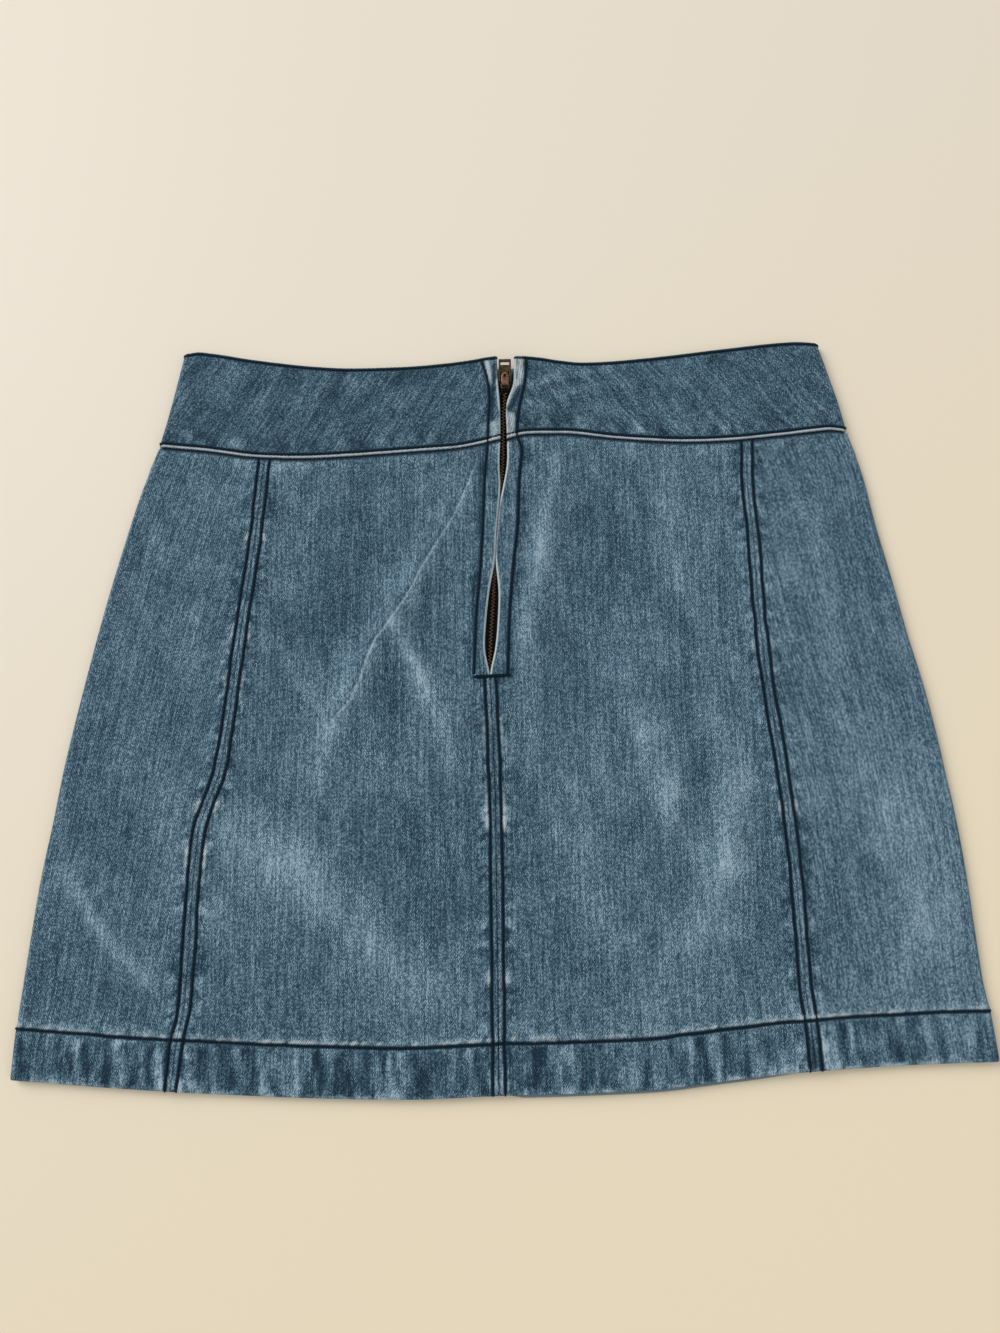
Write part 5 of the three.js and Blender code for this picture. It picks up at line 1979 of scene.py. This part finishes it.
@dataclass
class ZipTape:
    """One half of the woven zip tape, which parts round the slider."""

    side: Side
    lay: Lay
    width: float = 13.0
    thickness: float = 0.5
    span: tuple[float, float] = (3.0, 185.5)
    parting: tuple[float, float, float] = (171.3, 173.9, 4.2)
    steps: int = 150
    columns: int = 14

    def build(self, finishes: Finishes) -> bpy.types.Object:
        """A thin strip along the zip's line, with a corded inner edge."""
        y = np.linspace(*self.span, self.steps)[:, None]
        start, end, reach = self.parting
        near = self.lay.seam_gap / 2 + (reach - self.lay.seam_gap / 2) * ease(start, end, y)
        offset = near + (self.width - near) * np.linspace(0, 1, self.columns)[None]
        x = self.lay.zip_middle(y) + self.side.value * offset
        cord = 0.10 * bell(offset - near, 0.6, 0.5)
        low = self.lay.front_top(y) + self.lay.seam_gap + 0 * x
        high = low + self.thickness - 0.12 + cord + 0.02 * np.sin(offset * 4)
        spot = np.broadcast_to(y, x.shape)
        wall = Wall(
            np.stack([x, spot, high], -1),
            np.stack([x, spot, low], -1),
            np.stack([x, spot], -1),
            Wear.plain(x.shape),
        )
        name = f"zip_tape_{self.side.word}"
        obj = finish_piece(wall.mesh(f"{name}_cloth"), finishes.tape, nodes=[name])
        return obj


@dataclass
class ZipChain:
    """Two columns of metal teeth that mesh along the zip's middle."""

    lay: Lay
    span: tuple[float, float] = (14.6, 173.3)
    pitch: float = 1.9
    reach: float = 2.45
    past: float = 0.75
    thickness: float = 1.5

    def build(self, finishes: Finishes) -> bpy.types.Object:
        """Every tooth as a tube across the zip: a narrow waist and a wide head past the middle.

        A section is a rounded rectangle of the tooth's half length and half height; its half length
        follows a smooth curve from root to head.
        """
        count = int((self.span[1] - self.span[0]) / self.pitch)
        rings = np.concatenate([self.column(side, count) for side in Side])
        obj = mesh_object("zip_teeth", *tubes(rings))
        top = ease(-0.2, 0.5, (rings[..., 2] - rings[..., 2].mean(axis=(1, 2), keepdims=True)) / 0.75)
        rubbed = top * np.array([0.0, 0.0, 0.10, 0.75, 0.0, 0.0])[None, :, None]
        each = np.hstack([rubbed.reshape(len(rings), -1), np.zeros((len(rings), 2))])
        put_float(obj, "rubbed", each.ravel())
        return finish_piece(obj, finishes.teeth, nodes=["zip_chain"])

    def column(self, side: Side, count: int) -> Array:
        """Rings of the teeth of one side."""
        y = self.span[0] + self.pitch * (np.arange(count) + (0.25 if side is Side.LEFT else 0.75))
        ahead = unit(np.stack([self.lay.zip_middle(y + 1) - self.lay.zip_middle(y - 1), 2 + 0 * y], -1))
        middle = self.lay.zip_middle(y)
        base = self.lay.front_top(y) + 2 * self.lay.seam_gap + 0.5 + self.thickness / 2
        t = np.array([0.0, 0.08, 0.45, 0.62, 0.86, 1.0])
        along = np.array([0.26, 0.30, 0.32, 0.46, 0.38, 0.20])
        tall = np.array([0.55, 0.72, 0.72, 0.75, 0.75, 0.50]) * self.thickness / 1.5
        across = self.reach - (self.reach + self.past) * t
        angle = math.pi / 4 + 2 * math.pi * np.arange(8) / 8
        square = lambda c: np.sign(c) * np.abs(c) ** 0.6
        du, dv = square(np.cos(angle)), square(np.sin(angle))
        shape = (count, len(t), len(angle))
        step_y = np.broadcast_to(along[None, :, None] * du[None, None], shape)
        step_x = np.broadcast_to((side.value * across)[None, :, None], shape)
        ax, ay = ahead[:, 0][:, None, None], ahead[:, 1][:, None, None]
        x = middle[:, None, None] + step_x * ay + step_y * ax
        yy = y[:, None, None] - step_x * ax + step_y * ay
        z = base[:, None, None] + np.broadcast_to(tall[None, :, None] * dv[None, None], shape)
        return np.stack([x, yy, z], -1)


@dataclass(frozen=True)
class Plate:
    """A plate over a grid of cells, some left out, which may be bent. Its edges are bevelled."""

    upper: Array
    lower: Array
    solid: Array
    bevel: float = 0.2

    def mesh(self, name: str) -> bpy.types.Object:
        """The plate: both faces of its solid cells, and a wall wherever a solid cell has no neighbour."""
        rows, cols = self.upper.shape[:2]
        index = np.arange(rows * cols).reshape(rows, cols)
        corners = np.stack([index[:-1, :-1], index[:-1, 1:], index[1:, 1:], index[1:, :-1]], -1)
        padded = np.pad(self.solid, 1)
        faces = [corners[self.solid], corners[self.solid][:, ::-1] + rows * cols]
        beside = (
            (padded[:-2, 1:-1], 0, 1),
            (padded[1:-1, 2:], 1, 2),
            (padded[2:, 1:-1], 2, 3),
            (padded[1:-1, :-2], 3, 0),
        )
        for neighbour, a, b in beside:
            open_cells = corners[self.solid & ~neighbour]
            p, q = open_cells[:, a], open_cells[:, b]
            faces.append(np.stack([p, p + rows * cols, q + rows * cols, q], -1))
        every = np.concatenate(faces)
        points = np.concatenate([self.upper.reshape(-1, 3), self.lower.reshape(-1, 3)])
        used = np.unique(every)
        place = np.full(len(points), -1)
        place[used] = np.arange(len(used))
        obj = mesh_object(name, points[used], outwards(points[used], place[every]))
        soften = obj.modifiers.new("soft edges", "BEVEL")
        soften.width = self.bevel * MM
        soften.segments = 2
        soften.limit_method = "ANGLE"
        soften.angle_limit = math.radians(40)
        return obj


def grid_points(x: Array, y: Array, z: Array) -> Array:
    """Points from three grids that stretch to one shape."""
    return np.stack(np.broadcast_arrays(x, y, z), -1).astype(float)


@dataclass
class ZipSlider:
    """The slider: two plates that taper to the tail, the post between them, and the crown over the tab."""

    x: float = 5.7
    tail: float = 174.0
    nose: float = 184.0
    lower_z: float = 2.6
    upper_z: float = 5.7
    thickness: float = 1.0
    widths: Rows = ((174.0, 2.4), (175.6, 2.7), (177.5, 3.4), (180.5, 3.4), (182.6, 3.1), (184.0, 2.3))
    crown: Rows = ((174.8, 1.85), (178.2, 2.08), (180.0, 2.04), (181.3, 1.72), (182.2, 1.2), (182.8, 0.7))
    crown_top: float = 9.8
    crown_thickness: float = 0.9
    crown_turn: float = 1.1
    eye: tuple[float, float] = (179.0, 181.1)

    def flat_plate(self, name: str, z: float) -> bpy.types.Object:
        """One plate: its half width follows the table along y, and its rim curls a little."""
        y = np.linspace(self.tail, self.nose, 21)[:, None]
        share = np.linspace(-1, 1, 13)[None]
        x = self.x + Track.of(self.widths, 1).at(y) * share
        curl = 0.12 * np.abs(share) ** 4
        upper = grid_points(x, y, z + self.thickness - curl)
        lower = grid_points(x, y, z + curl * 0.5)
        return Plate(upper, lower, np.ones((20, 12), bool)).mesh(name)

    def build(self, finishes: Finishes) -> bpy.types.Object:
        """The plates and the post in aged bronze, and the crown in rubbed copper."""
        upper = self.flat_plate("zip_slider_upper", self.upper_z)
        finish_piece(upper, finishes.plate, nodes=["zip_slider"])
        finish_piece(self.flat_plate("zip_slider_lower", self.lower_z), finishes.plate)
        angle = 2 * math.pi * np.arange(12) / 12
        z = np.array([3.2, 3.5, 5.8, 6.1])[:, None]
        size = np.array([1.25, 1.1, 1.1, 1.25])[:, None]
        ring = grid_points(self.x + size * np.cos(angle), 182.0 + 1.2 * size * np.sin(angle), z)
        post = mesh_object("zip_slider_post", *tubes(ring[None]))
        finish_piece(post, finishes.plate)
        finish_piece(self.crown_piece(), finishes.copper)
        return upper

    def crown_piece(self) -> bpy.types.Object:
        """The crown: a strip that rises from the upper plate, runs over the tab and comes down again.

        Its middle line is a box with round corners in y and z, and its half width follows the table. It
        has an eye in front.
        """
        low, high, turn = self.upper_z + self.thickness - 0.3, self.crown_top - 0.1, self.crown_turn
        back, front = self.crown[0][0], self.crown[-1][0]
        arc = np.linspace(0, math.pi / 2, 6)
        rise = np.stack([np.full(4, back), np.linspace(low, high - turn, 5)[:-1]], -1)
        first = np.stack([back + turn * (1 - np.cos(arc)), high - turn + turn * np.sin(arc)], -1)
        level_y = np.array([176.3, 177.2, 178.1, self.eye[0], 180.0, self.eye[1]])
        level = np.stack([level_y, np.full(6, high)], -1)
        last = np.stack([front + back - first[::-1, 0], first[::-1, 1]], -1)
        fall = np.stack([np.full(4, front), rise[::-1, 1]], -1)
        line = np.concatenate([rise, first, level, last, fall])
        tangent = unit(np.gradient(line, axis=0))
        under = line + self.crown_thickness * np.stack([tangent[:, 1], -tangent[:, 0]], -1)
        half = Track.of(self.crown, 1).at(line[:, :1])
        share = np.array([-1.0, -0.72, -0.43, 0.0, 0.43, 0.72, 1.0])[None]
        dome = 0.10 * (1 - share**2)
        upper = grid_points(self.x + half * share, line[:, :1], line[:, 1:] + dome)
        lower = grid_points(self.x + half * share, under[:, :1], under[:, 1:])
        middle_y = (line[:-1, :1] + line[1:, :1]) / 2
        inner = np.abs(share[:, :-1] + share[:, 1:]) / 2 < 0.43
        eye = (middle_y > self.eye[0]) & (middle_y < self.eye[1])
        return Plate(upper, lower, ~(inner & eye), 0.14).mesh("zip_slider_crown")


@dataclass
class PullTab:
    """The pull tab, lying up over the waist edge, with a window round the crown and a slot near its end."""

    x: float = 5.7
    pivot: tuple[float, float] = (177.8, 7.6)
    thickness: float = 1.0
    window: tuple[float, float, float] = (2.4, 0.5, 5.4)
    slot: tuple[float, float, float] = (2.4, 9.6, 11.4)

    def build(self, finishes: Finishes) -> bpy.types.Object:
        """A plate on a grid of cells whose window and slot are left out, a little wider at its shoulders."""
        along = np.array([-0.5, 0.0, 0.5, 2.1, 3.7, 5.4, 6.2, 7.4, 8.6, 9.6, 10.5, 11.4, 12.2, 12.7, 13.1])
        across = np.array([-3.5, -3.1, -2.4, -1.9, -1.0, 0.0, 1.0, 1.9, 2.4, 3.1, 3.5])
        narrow = np.interp(along, [-0.5, 2.0, 6.5, 9.0, 12.5, 13.1], [0.97, 1.0, 1.0, 0.99, 0.99, 0.97])
        x = self.x + across[None] * narrow[:, None]
        y = self.pivot[0] + along[:, None]
        mid_y = ((along[:-1] + along[1:]) / 2)[:, None]
        mid_x = (np.abs(across[:-1] + across[1:]) / 2)[None]
        hole = lambda half, low, high: (mid_x < half) & (mid_y > low) & (mid_y < high)
        rim = 0.10 * ease(2.2, 3.2, np.abs(across))[None] - 0.12
        upper = grid_points(x, y, self.pivot[1] + self.thickness / 2 + rim)
        lower = grid_points(x, y, self.pivot[1] - self.thickness / 2)
        solid = ~(hole(*self.window) | hole(*self.slot))
        plate = Plate(upper, lower, solid, 0.22).mesh("zip_pull_tab_plate")
        return finish_piece(plate, finishes.plate, Body.TAB, nodes=["zip_pull_tab"])


@dataclass
class ThreadEnds:
    """Loose ends of thread left in the cloth."""

    skin: Skin
    thickness: float = 0.28

    def build(self, finishes: Finishes) -> bpy.types.Object:
        """Short tubes along bent paths: a stub above the waist seam and a small loop of snagged yarn."""
        stub = np.array([[131.0, 147.0, 5.6], [131.2, 149.0, 6.0], [130.8, 151.2, 5.9], [130.9, 152.6, 5.5]])
        loop = np.array([[-120.6, 160.8, 5.9], [-119.6, 159.6, 6.3], [-118.2, 159.2, 6.2], [-118.0, 157.6, 5.7]])
        rings = [self.tube(stub), self.tube(loop)]
        obj = mesh_object("loose_thread_ends", *tubes(np.stack(rings)))
        return finish_piece(obj, finishes.thread)

    def tube(self, knots: Array) -> Array:
        """Rings round a smooth path through four knots, thinner at both ends."""
        t = np.linspace(0, 3, 13)
        path = np.stack([Track((0, 1, 2, 3), tuple(knots[:, k])).at(t) for k in range(3)], -1)
        tangent = unit(np.gradient(path, axis=0))
        side = unit(np.cross(tangent, np.array([0.0, 0.0, 1.0])))
        lift = np.cross(side, tangent)
        angle = 2 * math.pi * np.arange(6) / 6
        size = self.thickness * (0.5 + 0.5 * np.sin(math.pi * t / 3) ** 0.5)
        round_path = np.cos(angle)[None, :, None] * side[:, None] + np.sin(angle)[None, :, None] * lift[:, None]
        return path[:, None] + size[:, None, None] * round_path


@dataclass
class Studio:
    """The pale floor, the soft light and the camera at the photograph's angle."""

    camera_at: tuple[float, float, float] = (-0.0011, -0.0756, 0.529)
    tilt: tuple[float, float, float] = (10.0, 0.0, -0.9)
    lens: float = 27.007
    floor_size: float = 8.0
    floor_z: float = -0.0001
    sky: tuple[float, float, float] = (0.93, 0.96, 1.0)
    sky_strength: float = 0.50

    def build(self, finishes: Finishes) -> None:
        """Places the floor, the lights and the camera."""
        half = self.floor_size / 2
        corners = np.array([[-half, -half], [half, -half], [half, half], [-half, half]])
        points = np.hstack([corners, np.full((4, 1), self.floor_z)])
        floor = mesh_object("floor", points, np.array([[0, 1, 2, 3]]), 1.0)
        floor.data.materials.append(finishes.floor)
        self.area("window", (-3.3, 2.25, 2.85), 3.0, 178.0, (0.98, 0.99, 1.0))
        self.area("bounce", (2.0, -1.1, 2.0), 2.4, 14.0, (1.0, 0.96, 0.90))
        world = bpy.data.worlds.new("soft_room")
        world.use_nodes = True
        background = world.node_tree.nodes["Background"]
        background.inputs["Color"].default_value = (*self.sky, 1.0)
        background.inputs["Strength"].default_value = self.sky_strength
        bpy.context.scene.world = world
        bpy.context.scene.view_settings.view_transform = "Standard"
        bpy.context.scene.view_settings.look = "None"
        data = bpy.data.cameras.new("photo_camera")
        data.sensor_fit = "AUTO"
        data.sensor_width = 36.0
        data.lens = self.lens
        data.clip_start, data.clip_end = 0.01, 30.0
        camera = bpy.data.objects.new("photo_camera", data)
        camera.location = self.camera_at
        camera.rotation_euler = tuple(math.radians(angle) for angle in self.tilt)
        bpy.context.scene.collection.objects.link(camera)
        bpy.context.scene.camera = camera

    def area(self, name: str, at: tuple[float, float, float], size: float, power: float, colour: tuple[float, float, float]) -> None:
        """A square soft light that faces the middle of the skirt."""
        data = bpy.data.lights.new(name, "AREA")
        data.size, data.energy, data.color = size, power, colour
        light = bpy.data.objects.new(name, data)
        light.location = at
        towards = -np.array(at)
        flat = math.hypot(towards[0], towards[1])
        light.rotation_euler = (math.atan2(flat, -towards[2]), 0.0, math.atan2(-towards[0], towards[1]))
        bpy.context.scene.collection.objects.link(light)


def main() -> None:
    """Loads the frame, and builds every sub-assembly in order."""
    logging.basicConfig(level=logging.INFO, format="%(name)s: %(message)s")
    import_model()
    finishes = Finishes()
    skin = Skin()
    Studio().build(finishes)
    parts = [
        FrontPanel(skin, Cut(0.300, 0.333, 0.0893)),
        BackPanel(Side.LEFT, skin, Cut(0.163, 0.340, 0.0505)),
        BackPanel(Side.RIGHT, skin, Cut(0.158, 0.340, 0.0495)),
        SidePanel(Side.LEFT, skin, Cut(0.190, 0.340, 0.0530)),
        SidePanel(Side.RIGHT, skin, Cut(0.200, 0.340, 0.0550)),
        Waistband(skin, Cut(0.760, 0.056, 0.0400)),
        BarTack(skin),
        ZipTape(Side.LEFT, skin.lay),
        ZipTape(Side.RIGHT, skin.lay),
        ZipChain(skin.lay),
        ZipSlider(),
        PullTab(),
        ThreadEnds(skin),
    ]
    for part in parts:
        piece = part.build(finishes)
        LOG.info("%s: %d faces", piece.name, len(piece.data.polygons))


if __name__ == "__main__":
    main()
